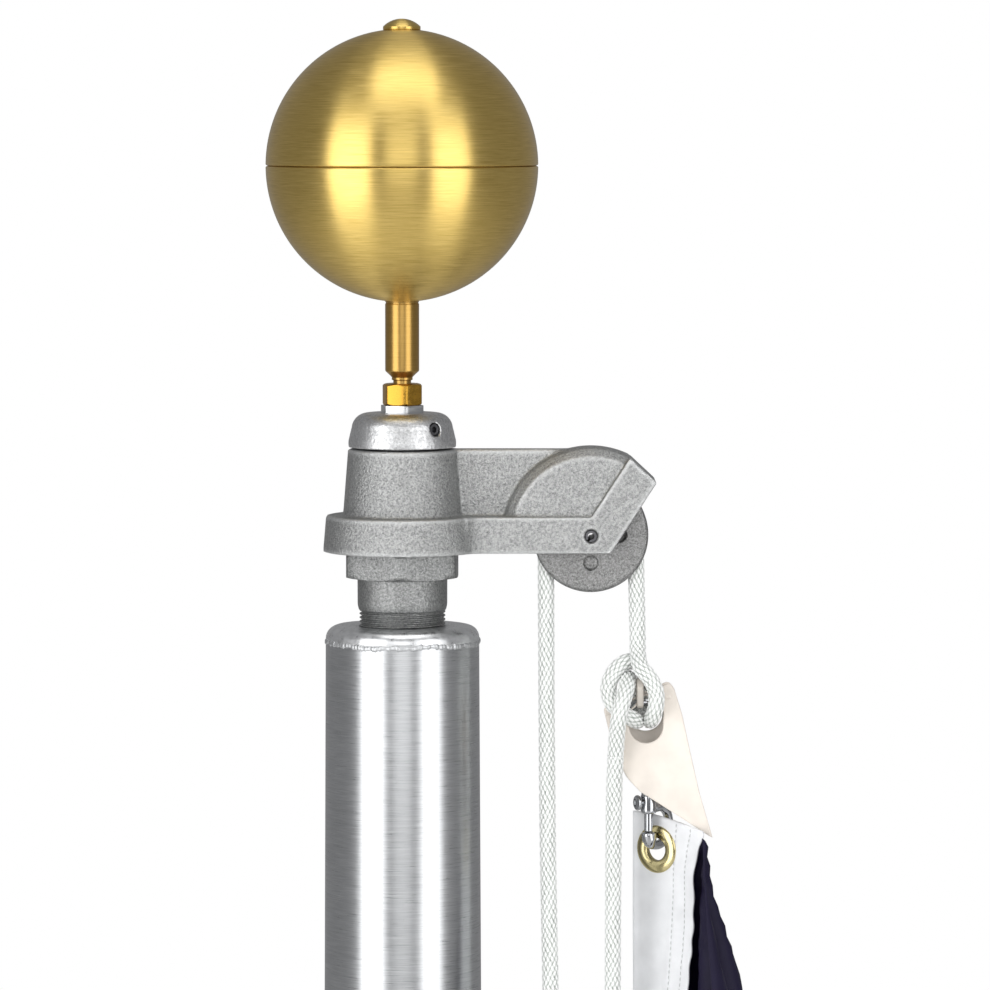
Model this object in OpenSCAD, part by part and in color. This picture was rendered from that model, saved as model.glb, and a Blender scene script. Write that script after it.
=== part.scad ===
// Top section of a sectional aluminium flagpole: tapered shaft, revolving
// truck with one sheave, ball finial, endless halyard, snaps and a flag.
// Millimetres. +Z up, +X along the truck's arm, origin at the centre of the
// shaft's lower end face.

/* [Shaft] */
// Length of the shaft section, up to the top of its plug
shaft_length = 1300; // [1120:10:1800]
// Outside diameter where the plug's shoulder meets the tube
shaft_top_d = 86.2; // [80:0.2:100]
// Growth of the diameter for each metre downwards
taper_per_m = 10.5; // [0:0.5:16]
// Wall thickness of the tube
shaft_wall = 4.8; // [3:0.1:6]
// Depth of the straight socket that takes the joint sleeve below
socket_depth = 150; // [80:5:200]
// Radius of the plug's rounded shoulder
shoulder_r = 7; // [3:0.5:9]
// Depth of the plug's skirt inside the tube
plug_depth = 34; // [30:1:60]

/* [Spindle] */
// Outside diameter of the lower pipe thread
thread_d = 48.3; // [40:0.1:60]
// Pitch of the pipe thread
thread_pitch = 2.2; // [1.5:0.1:3]
// Thread left showing above the plug
thread_show = 8; // [4:0.5:15]
// Diameter of the plain neck under the hexagon
neck_d = 50.4; // [44:0.2:56]
// Height of the plain neck
neck_h = 19.4; // [10:0.2:40]
// Hexagon, across flats
hex_af = 61.6; // [56:0.2:68]
// Height of the hexagon
hex_h = 13.9; // [8:0.1:25]
// Diameter of the journal that the truck turns on
journal_d = 34; // [28:0.5:40]
// Diameter of the stud through the cap
stud_d = 20; // [16:0.5:22]

/* [Truck] */
// Height of the truck's hub
hub_h = 57.6; // [50:0.2:70]
// Hub diameter at its top
hub_top_d = 60.8; // [54:0.2:66]
// Hub diameter where it meets the collar
hub_low_d = 66.6; // [60:0.2:74]
// Height of the collar and of the arm's edge band
band_h = 20.2; // [16:0.2:24]
// Collar diameter
collar_d = 88; // [80:0.5:100]
// Depth of the band, front to back
band_depth = 38; // [34:0.5:44]
// Thickness of the arm's web
web_t = 10; // [6:0.5:14]
// Depth of the sheave housing, front to back
housing_depth = 30; // [28:0.5:36]
// Room between the sheave's rim and the housing's inside
sheave_room = 5.5; // [4:0.5:8]
// Metal round the sheave's room, in the housing
housing_wall = 11.85; // [8:0.05:14]
// Slope of the band's far part above the horizontal
slant = 57; // [50:1:65]
// Length of the sloping part along its inner edge
slant_inner = 39.9; // [34:0.5:46]
// Length of the sloping part along its outer edge
slant_outer = 47.2; // [40:0.5:54]

/* [Sheave] */
// Distance of the sheave's axis from the pole's axis
sheave_x = 105.7; // [100:0.5:130]
// Height of the sheave's axis over the truck's underside
sheave_z = 9.6; // [8:0.2:12]
// Sheave diameter
sheave_d = 64.5; // [58:0.5:66]
// Sheave width
sheave_w = 17; // [14:0.5:19]
// Diameter of the pin that carries the sheave
pin_d = 6.35; // [5:0.05:8]

/* [Halyard] */
// Rope diameter
rope_d = 9.5; // [8:0.1:10]
// Height of the sheave's lips over the rope's outside
rope_sunk = 2.3; // [1:0.1:4]

/* [Cap, nuts and ball] */
// Height of the bearing cap
cap_h = 19.2; // [16:0.2:26]
// Diameter of the bearing cap at its rim
cap_d = 60.4; // [54:0.2:66]
// Height of the jam nut on the cap
jam_h = 4.2; // [3:0.1:8]
// Jam nut, across flats
jam_af = 22.2; // [21:0.2:26]
// Height of the brass nut
nut_h = 12.3; // [8:0.1:16]
// Brass nut, across flats
nut_af = 20.6; // [18:0.2:24]
// Diameter of the finial's rod
rod_d = 19.05; // [14:0.05:24]
// Length of the rod between its tapered foot and the ball
rod_show = 38.4; // [20:0.2:80]
// Ball diameter
ball_d = 152.4; // [100:0.2:220]
// Wall thickness of the ball
ball_wall = 1.6; // [1:0.1:3]
// Diameter of the button on the ball
button_d = 21; // [15:0.5:30]

/* [Flag] */
// Height of the flag at its hoist
flag_hoist = 610; // [560:5:700]
// Width of the flag's heading
heading_w = 42; // [34:1:50]
// Outside diameter of a grommet
grommet_d = 27; // [22:0.5:30]
// Hole through a grommet
grommet_hole = 12.7; // [11:0.1:14]
// Angle of the heading, turned towards the front
heading_turn = 38; // [20:1:60]

/* [Hidden] */
$fn = 64;
run_gap = 0.05;      // radial play of a turning fit
slip_gap = 0.3;      // play between soft or loose neighbours
hub_gap = 0.6;       // hexagon to hub
cap_gap = 1.0;       // hub to cap
foot_h = 7.3;        // tapered foot of the finial's rod
foot_d = 10;         // its neck, where it enters the nut
ball_stud_d = 10;    // stud inside the ball
button_h = 5.5;
seam_w = 0.8;        // groove between the ball's halves

// Heights
top_z = shaft_length;
hex_z = top_z + thread_show + neck_h;
hub_z = hex_z + hex_h + hub_gap;
cap_z = hub_z + hub_h + cap_gap;
jam_z = cap_z + cap_h;
nut_z = jam_z + jam_h;
foot_z = nut_z + nut_h;
rod_z = foot_z + foot_h;
ball_r = ball_d / 2;
ball_z = rod_z + rod_show + ball_r;
axle_z = hub_z + sheave_z;
function shaft_r(z) = shaft_top_d / 2 + taper_per_m / 2000 * (top_z - z);

// Sheave and housing
cavity_r = sheave_d / 2 + sheave_room;
housing_r = cavity_r + housing_wall;
rope_r = sheave_d / 2 - rope_sunk - rope_d / 2;
cavity_w = sheave_w + 3;
groove_r = rope_d / 2 + slip_gap;

// The lower hitch and snap mirror the upper ones about the flag's middle
grommet_inset = 20.5;
grommet_z = top_z - 127.5;
low_grommet_z = grommet_z - flag_hoist + 2 * grommet_inset;
mid_z = (grommet_z + low_grommet_z) / 2;

// ---------- helpers ----------

module ring(d_out, d_in, h) {
    difference() {
        cylinder(d = d_out, h = h);
        translate([0, 0, -1]) cylinder(d = d_in, h = h + 2);
    }
}

// Hexagonal prism with both ends chamfered as a turned nut is
module hex_prism(af, h, turn, low_chamfer = 1, high_chamfer = 1) {
    corner_r = af / 2 / cos(30);
    drop = corner_r - af / 2 + 0.4;
    intersection() {
        rotate([0, 0, turn]) cylinder(r = corner_r, h = h, $fn = 6);
        union() {
            translate([0, 0, low_chamfer]) cylinder(r = corner_r + 1, h = h - low_chamfer - high_chamfer);
            cylinder(r1 = corner_r + 1 - drop, r2 = corner_r + 1, h = low_chamfer);
            translate([0, 0, h - high_chamfer])
                cylinder(r1 = corner_r + 1, r2 = corner_r + 1 - drop, h = high_chamfer);
        }
    }
}

// Lies along Y, centred on y = 0
module y_cylinder(r, w) {
    rotate([90, 0, 0]) cylinder(r = r, h = w, center = true);
}

// Unit vector, and the side vectors of a tube's rings carried along its path
function unit(v) = v / norm(v);
function tangent(p, i) = unit(p[min(i + 1, len(p) - 1)] - p[max(i - 1, 0)]);
function first_side(t) = unit(cross(t, abs(t[2]) < 0.9 ? [0, 0, 1] : [1, 0, 0]));
function carry(p, i) =
    i == 0 ? first_side(tangent(p, 0))
    : let (last = carry(p, i - 1), t = tangent(p, i)) unit(last - (last * t) * t);
function tube_ring(p, i, r, n) =
    let (t = tangent(p, i), a = carry(p, i), b = cross(t, a))
    [for (k = [0 : n - 1]) p[i] + r * (cos(360 * k / n) * a + sin(360 * k / n) * b)];

// Closed tube of n sides through the points p
module tube(p, r, n = 8) {
    last = len(p) - 1;
    points = [for (i = [0 : last]) each tube_ring(p, i, r, n)];
    sides = [for (i = [0 : last - 1], k = [0 : n - 1])
        let (a = i * n + k, b = i * n + (k + 1) % n) [a, a + n, b + n, b]];
    polyhedron(points, concat(sides,
        [[for (k = [0 : n - 1]) k]], [[for (k = [n - 1 : -1 : 0]) last * n + k]]), convexity = 6);
}

// Smooth curve through the points p, in steps parts to a span
function spline_at(a, b, c, d, t) =
    0.5 * ((2 * b) + (c - a) * t + (2 * a - 5 * b + 4 * c - d) * t * t + (3 * b - a - 3 * c + d) * t * t * t);
function spline(p, steps) =
    concat([for (i = [0 : len(p) - 2], s = [0 : steps - 1])
        spline_at(i > 0 ? p[i - 1] : 2 * p[0] - p[1], p[i], p[i + 1],
            i + 2 < len(p) ? p[i + 2] : 2 * p[i + 1] - p[i], s / steps)], [p[len(p) - 1]]);
function upside_down(p) = [for (q = p) [q[0], q[1], 2 * mid_z - q[2]]];

// ---------- shaft ----------

module shaft_tube() color("silver") {
    length = top_z - shoulder_r - 2;
    socket_r = shaft_r(0) - shaft_wall;
    difference() {
        cylinder(r1 = shaft_r(0), r2 = shaft_r(length), h = length);
        translate([0, 0, -1]) cylinder(r = socket_r, h = socket_depth + 1);
        translate([0, 0, socket_depth])
            cylinder(r1 = socket_r - 0.2, r2 = shaft_r(length + 1) - shaft_wall, h = length - socket_depth + 1);
    }
}

module shaft_plug() color("silver") {
    seat = top_z - shoulder_r - 2;
    skirt_r = shaft_r(seat) - shaft_wall - 0.4;
    difference() {
        union() {
            rotate_extrude() {
                r = shaft_r(top_z - shoulder_r);
                translate([0, seat]) square([r, 2]);
                translate([0, seat + 2]) square([r - shoulder_r, shoulder_r]);
                intersection() {
                    translate([r - shoulder_r, top_z - shoulder_r]) circle(r = shoulder_r);
                    translate([r - shoulder_r, top_z - shoulder_r]) square(shoulder_r);
                }
            }
            translate([0, 0, top_z - plug_depth]) cylinder(r = skirt_r, h = plug_depth - shoulder_r);
        }
        translate([0, 0, top_z - plug_depth - 1]) cylinder(d = thread_d + 2 * run_gap, h = plug_depth + 2);
    }
}

// Bead that joins tube and plug, a little proud of the surface
module weld_bead() color("whitesmoke") {
    seat = top_z - shoulder_r - 2;
    r = shaft_r(seat);
    rotate_extrude() translate([r, seat])
        intersection() {
            translate([-1.7, 0]) circle(r = 2.4, $fn = 32);
            translate([0.02, -3]) square([3, 6]);
        }
}

// ---------- spindle, cap and finial ----------

module spindle() color("darkgray") {
    thread_r = thread_d / 2;
    root_r = thread_r - 1.3;
    low = top_z - plug_depth + 4;
    turns = floor((top_z + thread_show - low) / thread_pitch);
    difference() {
        union() {
            rotate_extrude() {
                polygon(concat([[0, low], [root_r, low]],
                    [for (i = [0 : turns - 1]) each [
                        [root_r, low + i * thread_pitch],
                        [thread_r, low + (i + 0.5) * thread_pitch]]],
                    [[root_r, low + turns * thread_pitch], [root_r, top_z + thread_show],
                    [neck_d / 2 - 1, top_z + thread_show],
                    [neck_d / 2, top_z + thread_show + 2.5],
                    [neck_d / 2, hex_z], [0, hex_z]]));
            }
            translate([0, 0, hex_z]) hex_prism(hex_af, hex_h, -92, 2.2, 0.8);
            translate([0, 0, hex_z + hex_h - 1]) cylinder(d = journal_d, h = cap_z - hex_z - hex_h + 1);
            translate([0, 0, cap_z - 1]) cylinder(d = stud_d, h = cap_h + 1);
        }
        translate([0, 0, jam_z - 22]) cylinder(d = 12.7 + 2 * run_gap, h = 30);
        translate([0, 0, low - 1]) cylinder(d = 30, h = 40);
    }
}

// Turned-over dome; the set screw's hole is drilled level through its side
set_screw_turn = -48;
set_screw_z = 10.8;
set_screw_d = 6.35;
module cap_profile() {
    r = cap_d / 2;
    round_r = 9;
    intersection() {
        union() {
            square([r - round_r - 2, cap_h]);
            polygon([[0, 0], [r, 0], [r, 3.5], [r - 1.6, cap_h - round_r], [r - 2 - round_r, cap_h - round_r], [0, cap_h - round_r]]);
            translate([r - round_r - 1.8, cap_h - round_r]) circle(r = round_r);
        }
        square([r, cap_h]);
    }
}
module bearing_cap() color("gainsboro") {
    translate([0, 0, cap_z]) difference() {
        rotate_extrude() cap_profile();
        translate([0, 0, -1]) cylinder(d = stud_d + 2 * run_gap, h = cap_h + 2);
        rotate([0, 0, set_screw_turn]) translate([0, 0, set_screw_z]) rotate([0, 90, 0]) {
            cylinder(d = set_screw_d + 2 * run_gap, h = 60);
            translate([0, 0, cap_d / 2 - 5]) cylinder(d = set_screw_d + 1.4, h = 30);
        }
    }
}

module cap_set_screw() color("dimgray") {
    translate([0, 0, cap_z + set_screw_z]) rotate([0, 0, set_screw_turn]) rotate([0, 90, 0])
        translate([0, 0, stud_d / 2]) difference() {
            cylinder(d = set_screw_d, h = cap_d / 2 - stud_d / 2 - 3.2);
            translate([0, 0, cap_d / 2 - stud_d / 2 - 6]) cylinder(d = 3.7, h = 8, $fn = 6);
        }
}

module jam_nut() color("silver") {
    translate([0, 0, jam_z]) difference() {
        hex_prism(jam_af, jam_h, -78, 0.3, 0.3);
        translate([0, 0, -1]) cylinder(d = 12.7 + 2 * run_gap, h = jam_h + 2);
    }
}

module rod_nut() color("goldenrod") {
    translate([0, 0, nut_z]) difference() {
        hex_prism(nut_af, nut_h, -76.4, 1.1, 1.3);
        translate([0, 0, -1]) cylinder(d = 12.7 + 2 * run_gap, h = nut_h - 1.5);
        cylinder(d = foot_d + 2 * run_gap, h = nut_h + 1);
    }
}

// Rod with a tapered foot; its stud screws down into the spindle, and a
// thinner one runs up through the ball to the button
module finial_rod() color("darkgoldenrod") {
    top = ball_z + ball_r - ball_wall;
    difference() {
        union() {
            translate([0, 0, jam_z - 20]) cylinder(d = 12.7, h = nut_z + nut_h - 2.6 - jam_z + 20);
            translate([0, 0, nut_z]) cylinder(d = foot_d, h = nut_h + 2.2);
            translate([0, 0, foot_z + 1.8]) cylinder(d = foot_d + 1.4, h = 1.3);
            translate([0, 0, foot_z + 3.1]) cylinder(d1 = foot_d + 1.4, d2 = rod_d, h = foot_h - 3.1);
            translate([0, 0, rod_z]) cylinder(d = rod_d, h = rod_show + 4);
        }
        translate([0, 0, ball_z]) sphere(r = ball_r + run_gap, $fn = 96);
    }
    translate([0, 0, rod_z + 4]) cylinder(d = ball_stud_d, h = top - rod_z - 2);
}

// Half of the spun ball: side is 1 for the upper half and -1 for the lower
module ball_half(side) {
    translate([0, 0, ball_z]) difference() {
        intersection() {
            difference() {
                sphere(r = ball_r, $fn = 96);
                sphere(r = ball_r - ball_wall, $fn = 96);
            }
            translate([-ball_d, -ball_d, side > 0 ? 0 : -ball_d]) cube([2 * ball_d, 2 * ball_d, ball_d]);
        }
        cylinder(d = ball_stud_d + 2 * run_gap, h = 3 * ball_d, center = true);
        rotate_extrude() polygon([[ball_r + 1, -seam_w / 2 - 0.7], [ball_r + 1, seam_w / 2 + 0.7],
            [ball_r - 0.9, 0]]);
    }
}

module ball_lower_half() color("gold") {
    ball_half(-1);
    // lip that locates the upper half
    lip_r = ball_r - ball_wall;
    translate([0, 0, ball_z - 14]) difference() {
        cylinder(r = lip_r - 0.6, h = 20);
        translate([0, 0, -1]) cylinder(r = lip_r - 1.9, h = 22);
    }
}

module ball_upper_half() color("gold") ball_half(1);

module ball_button() color("gold") {
    r = button_d / 2;
    rise = 4.4;
    dome_r = (r * r + rise * rise) / (2 * rise);
    rim_z = ball_r + button_h - rise;
    translate([0, 0, ball_z]) rotate_extrude() difference() {
        union() {
            translate([0, ball_r - 4]) square([r, rim_z - ball_r + 4]);
            intersection() {
                translate([0, ball_r + button_h - dome_r]) circle(r = dome_r);
                translate([0, rim_z - 0.01]) square([r, rise + 1]);
            }
        }
        circle(r = ball_r + run_gap, $fn = 96);
        square([ball_stud_d / 2 + run_gap, ball_r + 1.2]);
    }
}

// ---------- truck ----------

// Points of the band seen from the front; z is over the truck's underside
band_inner = [sheave_x, band_h];
band_corner = [sheave_x + band_h * tan(slant / 2), 0];
band_tip = band_corner + slant_outer * [cos(slant), sin(slant)];
band_top = band_inner + slant_inner * [cos(slant), sin(slant)];

// Extrudes a front outline to a depth, middle on y = 0
module front_plate(depth) {
    rotate([90, 0, 0]) linear_extrude(height = depth, center = true) children();
}

// Fillet between the round collar and the straight band, in plan
module collar_fillet(side) {
    r = 14;
    y = band_depth / 2 + r;
    x = sqrt(pow(collar_d / 2 + r, 2) - y * y);
    reach = collar_d / 2 / (collar_d / 2 + r);
    linear_extrude(height = band_h) difference() {
        polygon([[0, 0], [x * reach, side * y * reach], [x, side * y], [x, 0]]);
        translate([x, side * y]) circle(r = r);
    }
}

module housing() {
    side_r = housing_r - 5.5;
    intersection() {
        translate([sheave_x, 0, sheave_z]) rotate([90, 0, 0]) rotate_extrude() polygon([
            [0, -housing_depth / 2], [side_r, -housing_depth / 2], [housing_r - 1.2, -housing_depth / 2 + 5],
            [housing_r, -housing_depth / 2 + 9], [housing_r, housing_depth / 2 - 9],
            [housing_r - 1.2, housing_depth / 2 - 5], [side_r, housing_depth / 2], [0, housing_depth / 2]]);
        front_plate(2 * housing_depth) polygon([[0, 0], band_corner, band_tip, band_top,
            [band_top[0], housing_r * 2], [0, housing_r * 2]]);
    }
}

module truck_casting() color("lightgray") {
    translate([0, 0, hub_z]) difference() {
        union() {
            cylinder(d1 = collar_d + 1, d2 = collar_d - 2.4, h = band_h);
            translate([0, 0, band_h - 1]) cylinder(d1 = hub_low_d + 0.2, d2 = hub_top_d, h = hub_h - band_h + 1);
            collar_fillet(1);
            collar_fillet(-1);
            front_plate(web_t) polygon([[0, 0], [sheave_x, 0], [sheave_x, hub_h], [0, hub_h]]);
            front_plate(band_depth) polygon([[0, 0], band_corner, band_tip, band_top, band_inner, [0, band_h]]);
            housing();
        }
        translate([0, 0, -1]) cylinder(d = journal_d + 2 * run_gap, h = hub_h + 2);
        translate([sheave_x, 0, sheave_z]) {
            y_cylinder(cavity_r, cavity_w);
            translate([-cavity_r, -cavity_w / 2, -60]) cube([2 * cavity_r + 60, cavity_w, 60]);
            translate([0, -cavity_w / 2, -60]) cube([cavity_r + 60, cavity_w, 60 + 18]);
            y_cylinder(pin_d / 2 + run_gap, 2 * band_depth);
            for (side = [-1, 1]) translate([0, side * band_depth / 2, 0]) y_cylinder(4.2, 3.6);
        }
    }
}

module sheave() color("gray") {
    translate([sheave_x, 0, axle_z]) difference() {
        y_cylinder(sheave_d / 2, sheave_w);
        y_cylinder(pin_d / 2 + run_gap, sheave_w + 2);
        rotate([90, 0, 0]) rotate_extrude() {
            translate([rope_r, 0]) circle(r = groove_r);
            translate([rope_r, -groove_r]) square([sheave_d, 2 * groove_r]);
        }
        for (turn = [0 : 90 : 270], side = [-1, 1]) rotate([0, turn, 0])
            translate([0, side * (sheave_w / 2 - 1.4), -15.8]) rotate([-side * 90, 0, 0])
                cylinder(r1 = 1.6, r2 = 4.3, h = 3, center = true);
    }
}

// Rolled spring pin with its slit
module sheave_pin() color("dimgray") {
    translate([sheave_x, 0, axle_z]) difference() {
        y_cylinder(pin_d / 2, band_depth - 2.4);
        y_cylinder(pin_d / 2 - 1.3, band_depth + 2);
        rotate([0, 35, 0]) translate([-0.7, -band_depth, -pin_d]) cube([1.4, 2 * band_depth, pin_d]);
    }
}

// ---------- halyard ----------

// Where the two falls leave the sheave
left_fall_x = sheave_x - rope_r;
right_fall_x = sheave_x + rope_r;

module halyard_on_sheave() color("white") {
    translate([sheave_x, 0, axle_z]) rotate([90, 0, 0])
        rotate_extrude(angle = 180) translate([rope_r, 0]) circle(d = rope_d, $fn = 32);
}

// Upper hitch, heights over the grommet's middle: one turn through the eye on
// the right, one on the left, then down past the cover's hoist edge
hitch_path = [[132.2, 0, 119.6], [132.2, -2, 111.8], [133.8, -9, 104.5], [138.3, -12, 99.5],
    [142.2, -12.3, 91.6], [142.2, -12, 82.7], [140, -5, 75.4], [138.9, 5, 73.7], [139.4, 12, 79.3],
    [138.9, 12.5, 88.8], [136.6, 9, 98.3], [132.2, 4.5, 105.6], [125.4, 0, 106.7], [118.7, -3, 101.1],
    [115.6, -6, 92.2], [118.2, -10, 83.8], [124.9, -12, 78.2], [131, -5, 74.3], [132.2, 5, 73.7],
    [132.2, 12, 79.3], [129.9, 12, 88.3], [127.7, 7, 95.5], [126.6, -1, 97.5], [126, -9, 93.9],
    [123.8, -17, 87.1], [121.5, -19, 78.7], [120.4, -16, 69.2], [119.6, -13, 55.2]];
function over_grommet(p) = [for (q = p) [q[0], q[1], q[2] + grommet_z]];
function backwards(p) = [for (i = [len(p) - 1 : -1 : 0]) p[i]];
hitch = over_grommet(hitch_path);
hitch_end = hitch[len(hitch) - 1];

module halyard_right_fall() color("white")
    tube([[right_fall_x, 0, axle_z], [right_fall_x + 0.6, 0, (axle_z + hitch[0][2]) / 2], hitch[0]], rope_d / 2);
module halyard_upper_hitch() color("white") tube(spline(hitch, 2), rope_d / 2);
module halyard_lower_hitch() color("white") tube(backwards(upside_down(spline(hitch, 2))), rope_d / 2);

hoist_side = [hitch_end, [118.8, -10.5, grommet_z + 25], [118.4, -7, grommet_z - 60], [117.8, -4, mid_z]];
module halyard_along_hoist() color("white")
    tube(spline(concat(hoist_side, [for (q = backwards(upside_down([for (i = [0 : len(hoist_side) - 2])
        hoist_side[i]]))) q]), 3), rope_d / 2);

// The falls come together in the knot that joins the rope's two ends
knot_z = low_grommet_z - 230;
knot_x = 107;
tail_start = upside_down([hitch[0]])[0];
tail_path = [tail_start, [131, 0, tail_start[2] - 14], [122, 0, tail_start[2] - 50],
    [knot_x + 5, 0, knot_z + 14]];
left_path = [[left_fall_x, 0, axle_z], [left_fall_x + 1, 0, top_z - 100], [left_fall_x + 3.1, 0, top_z - 220],
    [86.5, 0, top_z - 400], [90, 0, top_z - 600], [96, 0, top_z - 760], [knot_x - 5, 0, knot_z + 14]];
module halyard_tail() color("white") tube(spline(tail_path, 3), rope_d / 2);
module halyard_left_fall() color("white") tube(spline(left_path, 3), rope_d / 2);
module halyard_joining_knot() color("white") {
    translate([knot_x, 0, knot_z]) {
        rotate_extrude() intersection() {
            circle(r = 16);
            translate([0, -20]) square([18, 40]);
        }
        translate([-6, 0, -58]) cylinder(d = rope_d, h = 50);
        translate([6, 0, -52]) cylinder(d = rope_d, h = 44);
    }
}

// ---------- snap, cover, grommet ----------

// Heights over the grommet's middle; the cover is a strip folded over the eye
cover_t = 2;
cover_gap = 10;
cover_front = [[114.2, 77], [118.8, 60], [122.6, 49], [126, 42.4], [133.7, 34.3], [153.5, 22],
    [169.6, 22], [167, 33.5], [162.2, 54.6], [157.3, 77.3], [152.8, 92], [149.6, 95.3],
    [146, 94], [141.5, 89.5], [131.6, 89.5], [131.6, 84], [126, 78.4], [118, 78.4]];
cover_back = [[113, 80], [117.4, 62], [122, 50], [125.6, 42.6], [172.8, 8.7], [167, 33.5], [162.2, 54.6],
    [157.3, 77.3], [152.8, 92], [149.6, 95.3], [146, 94], [141.5, 89.5], [131.6, 89.5], [131.6, 86], [120, 84]];
module cover_flap(outline, y) {
    translate([0, y, 0]) difference() {
        front_plate(cover_t) polygon(outline);
        for (z = [snap_eye_z, snap_eye_z + 9]) translate([136.8, 0, z]) y_cylinder(10.2, 10);
        translate([123.8, -10, snap_eye_z]) cube([23.2, 20, 9]);
    }
}
module snap_cover() color("linen") {
    translate([0, 0, grommet_z]) {
        cover_flap(cover_front, -(cover_gap + cover_t) / 2);
        cover_flap(cover_back, (cover_gap + cover_t) / 2);
        translate([131.8, -cover_gap / 2 - cover_t, 87.3]) cube([2.8, cover_gap + 2 * cover_t, 2]);
        translate([146.4, -cover_gap / 2 - cover_t, 91.6]) cube([5, cover_gap + 2 * cover_t, 2]);
    }
}

// Swivel eye, barrel and hook. The hook lies in a plane square to the
// heading, so that it passes through the grommet
bolt_x = 138.6;
snap_eye_z = 70.9;
eye_r = 13;
bolt_r = 2.3;
barrel_low = 21.6;
barrel_high = 50;
hook_bar = 2.6;
hook_path = [[3, 24.4], [12, 23.6], [17.4, 19.5], [19, 12.5], [16.6, 6], [11.5, 2.8], [6, 2.5], [1.6, 4.4], [0, 9.6]];
module snap_hook() color("silver") {
    translate([bolt_x, 0, grommet_z]) {
        translate([-2, 0, snap_eye_z]) rotate([90, 0, 0]) rotate_extrude() translate([eye_r, 0]) circle(r = 2.2, $fn = 24);
        translate([-1, 0, barrel_high]) cylinder(r1 = 4.6, r2 = 2.6, h = 8.5);
        difference() {
            union() {
                translate([0, 0, barrel_low]) cylinder(r = 4.8, h = barrel_high - barrel_low + 0.5);
                rotate([0, 0, 90 - heading_turn])
                    tube(spline([for (q = hook_path) [q[0], 0, q[1]]], 2), hook_bar, 12);
            }
            translate([0, 0, barrel_low - 1]) cylinder(r = bolt_r + run_gap, h = 24);
            translate([-6, -1.4, barrel_low - 1]) cube([6, 2.8, 20]);
        }
    }
}
module snap_bolt() color("silver") {
    translate([bolt_x, 0, grommet_z]) {
        translate([0, 0, 10.9]) cylinder(r = bolt_r, h = 21);
        translate([-7, -1, 24.4]) cube([7, 2, 5]);
        translate([-7.6, 0, 21.9]) cylinder(r = 2.4, h = 10);
    }
}

// The grommet lies in the heading's plane, behind the bolt
grommet_x = 143.7;
grommet_y = 6.1;
module along_heading() {
    translate([grommet_x, grommet_y, 0]) rotate([0, 0, -heading_turn]) children();
}
module grommet() color("gold") {
    along_heading() translate([0, 0, grommet_z]) rotate([90, 0, 0]) rotate_extrude()
        translate([(grommet_d + grommet_hole) / 4, 0]) square([(grommet_d - grommet_hole) / 2, 2.6], center = true);
}

// ---------- flag ----------

flag_top = grommet_z + grommet_inset;
flag_low = flag_top - flag_hoist;
heading_start = -17;
module flag_heading() color("white") {
    along_heading() difference() {
        translate([heading_start, -0.9, flag_low]) cube([heading_w, 1.8, flag_hoist]);
        for (z = [grommet_z, low_grommet_z]) translate([0, 0, z]) y_cylinder(grommet_d / 2, 10);
    }
}

// The hanging cloth, seen from above: its folds' middle line at full width,
// from the heading's edge to the fly, and the width and shift by height
cloth_folds = [[25.6, 0], [34, 0], [35, 9], [-8, 27], [-34, 45], [-32, 73], [-4, 75], [14, 38],
    [42, 20], [32, 46], [56, 60], [63, 8], [53, -27], [76, -16], [81, 38], [95, 14], [120, -44]];
cloth_t = 5;
// drop below the flag's top, width, shift along the heading, shift to the back
cloth_levels = [[14, 0.12, 0, 0], [50, 0.3, 0, 0], [150, 0.52, 0, 0], [300, 0.78, 0, 0],
    [450, 0.95, 0, 0], [556, 1, 0, 0], [594, 1, 16, 14], [700, 1, 8, 8], [840, 1, 4, 10],
    [900, 0.6, -30, 11], [1035, 0.25, -35, 14]];
function normal(a, b) = let (d = unit(b - a)) [-d[1], d[0]];
function mitre(c, i) =
    i == 0 ? normal(c[0], c[1])
    : i == len(c) - 1 ? normal(c[i - 1], c[i])
    : let (a = normal(c[i - 1], c[i]), b = normal(c[i], c[i + 1])) (a + b) / (1 + max(a * b, -0.4));
function ribbon(c, t) = concat([for (i = [0 : len(c) - 1]) c[i] + t / 2 * mitre(c, i)],
    [for (i = [len(c) - 1 : -1 : 0]) c[i] - t / 2 * mitre(c, i)]);
module flag_cloth() color("midnightblue") {
    section = ribbon(cloth_folds, cloth_t);
    root = cloth_folds[0];
    n = len(section);
    last = len(cloth_levels) - 1;
    points = [for (f = cloth_levels, q = section) let (p = root + f[1] * (q - root))
        [p[0] + f[2] + heading_w + heading_start - 25, p[1] + f[3], flag_top - f[0] * flag_hoist / 610]];
    sides = [for (i = [0 : last - 1], k = [0 : n - 1])
        let (a = i * n + k, b = i * n + (k + 1) % n) [a, a + n, b + n, b]];
    along_heading() polyhedron(points, concat(sides,
        [[for (k = [0 : n - 1]) k]], [[for (k = [n - 1 : -1 : 0]) last * n + k]]), convexity = 12);
}

shaft_tube();
shaft_plug();
weld_bead();
spindle();
bearing_cap();
cap_set_screw();
jam_nut();
rod_nut();
finial_rod();
ball_lower_half();
ball_upper_half();
ball_button();
truck_casting();
sheave();
sheave_pin();
halyard_on_sheave();
halyard_left_fall();
halyard_right_fall();
halyard_upper_hitch();
halyard_along_hoist();
halyard_lower_hitch();
halyard_tail();
halyard_joining_knot();
snap_cover();  // upper_snap_cover
snap_hook();  // upper_snap_hook
snap_bolt();  // upper_snap_bolt
translate([0, 0, 2 * mid_z]) mirror([0, 0, 1]) snap_cover();  // lower_snap_cover
translate([0, 0, 2 * mid_z]) mirror([0, 0, 1]) snap_hook();  // lower_snap_hook
translate([0, 0, 2 * mid_z]) mirror([0, 0, 1]) snap_bolt();  // lower_snap_bolt
grommet();  // upper_grommet
translate([0, 0, 2 * mid_z]) mirror([0, 0, 1]) grommet();  // lower_grommet
flag_heading();
flag_cloth();
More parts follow.
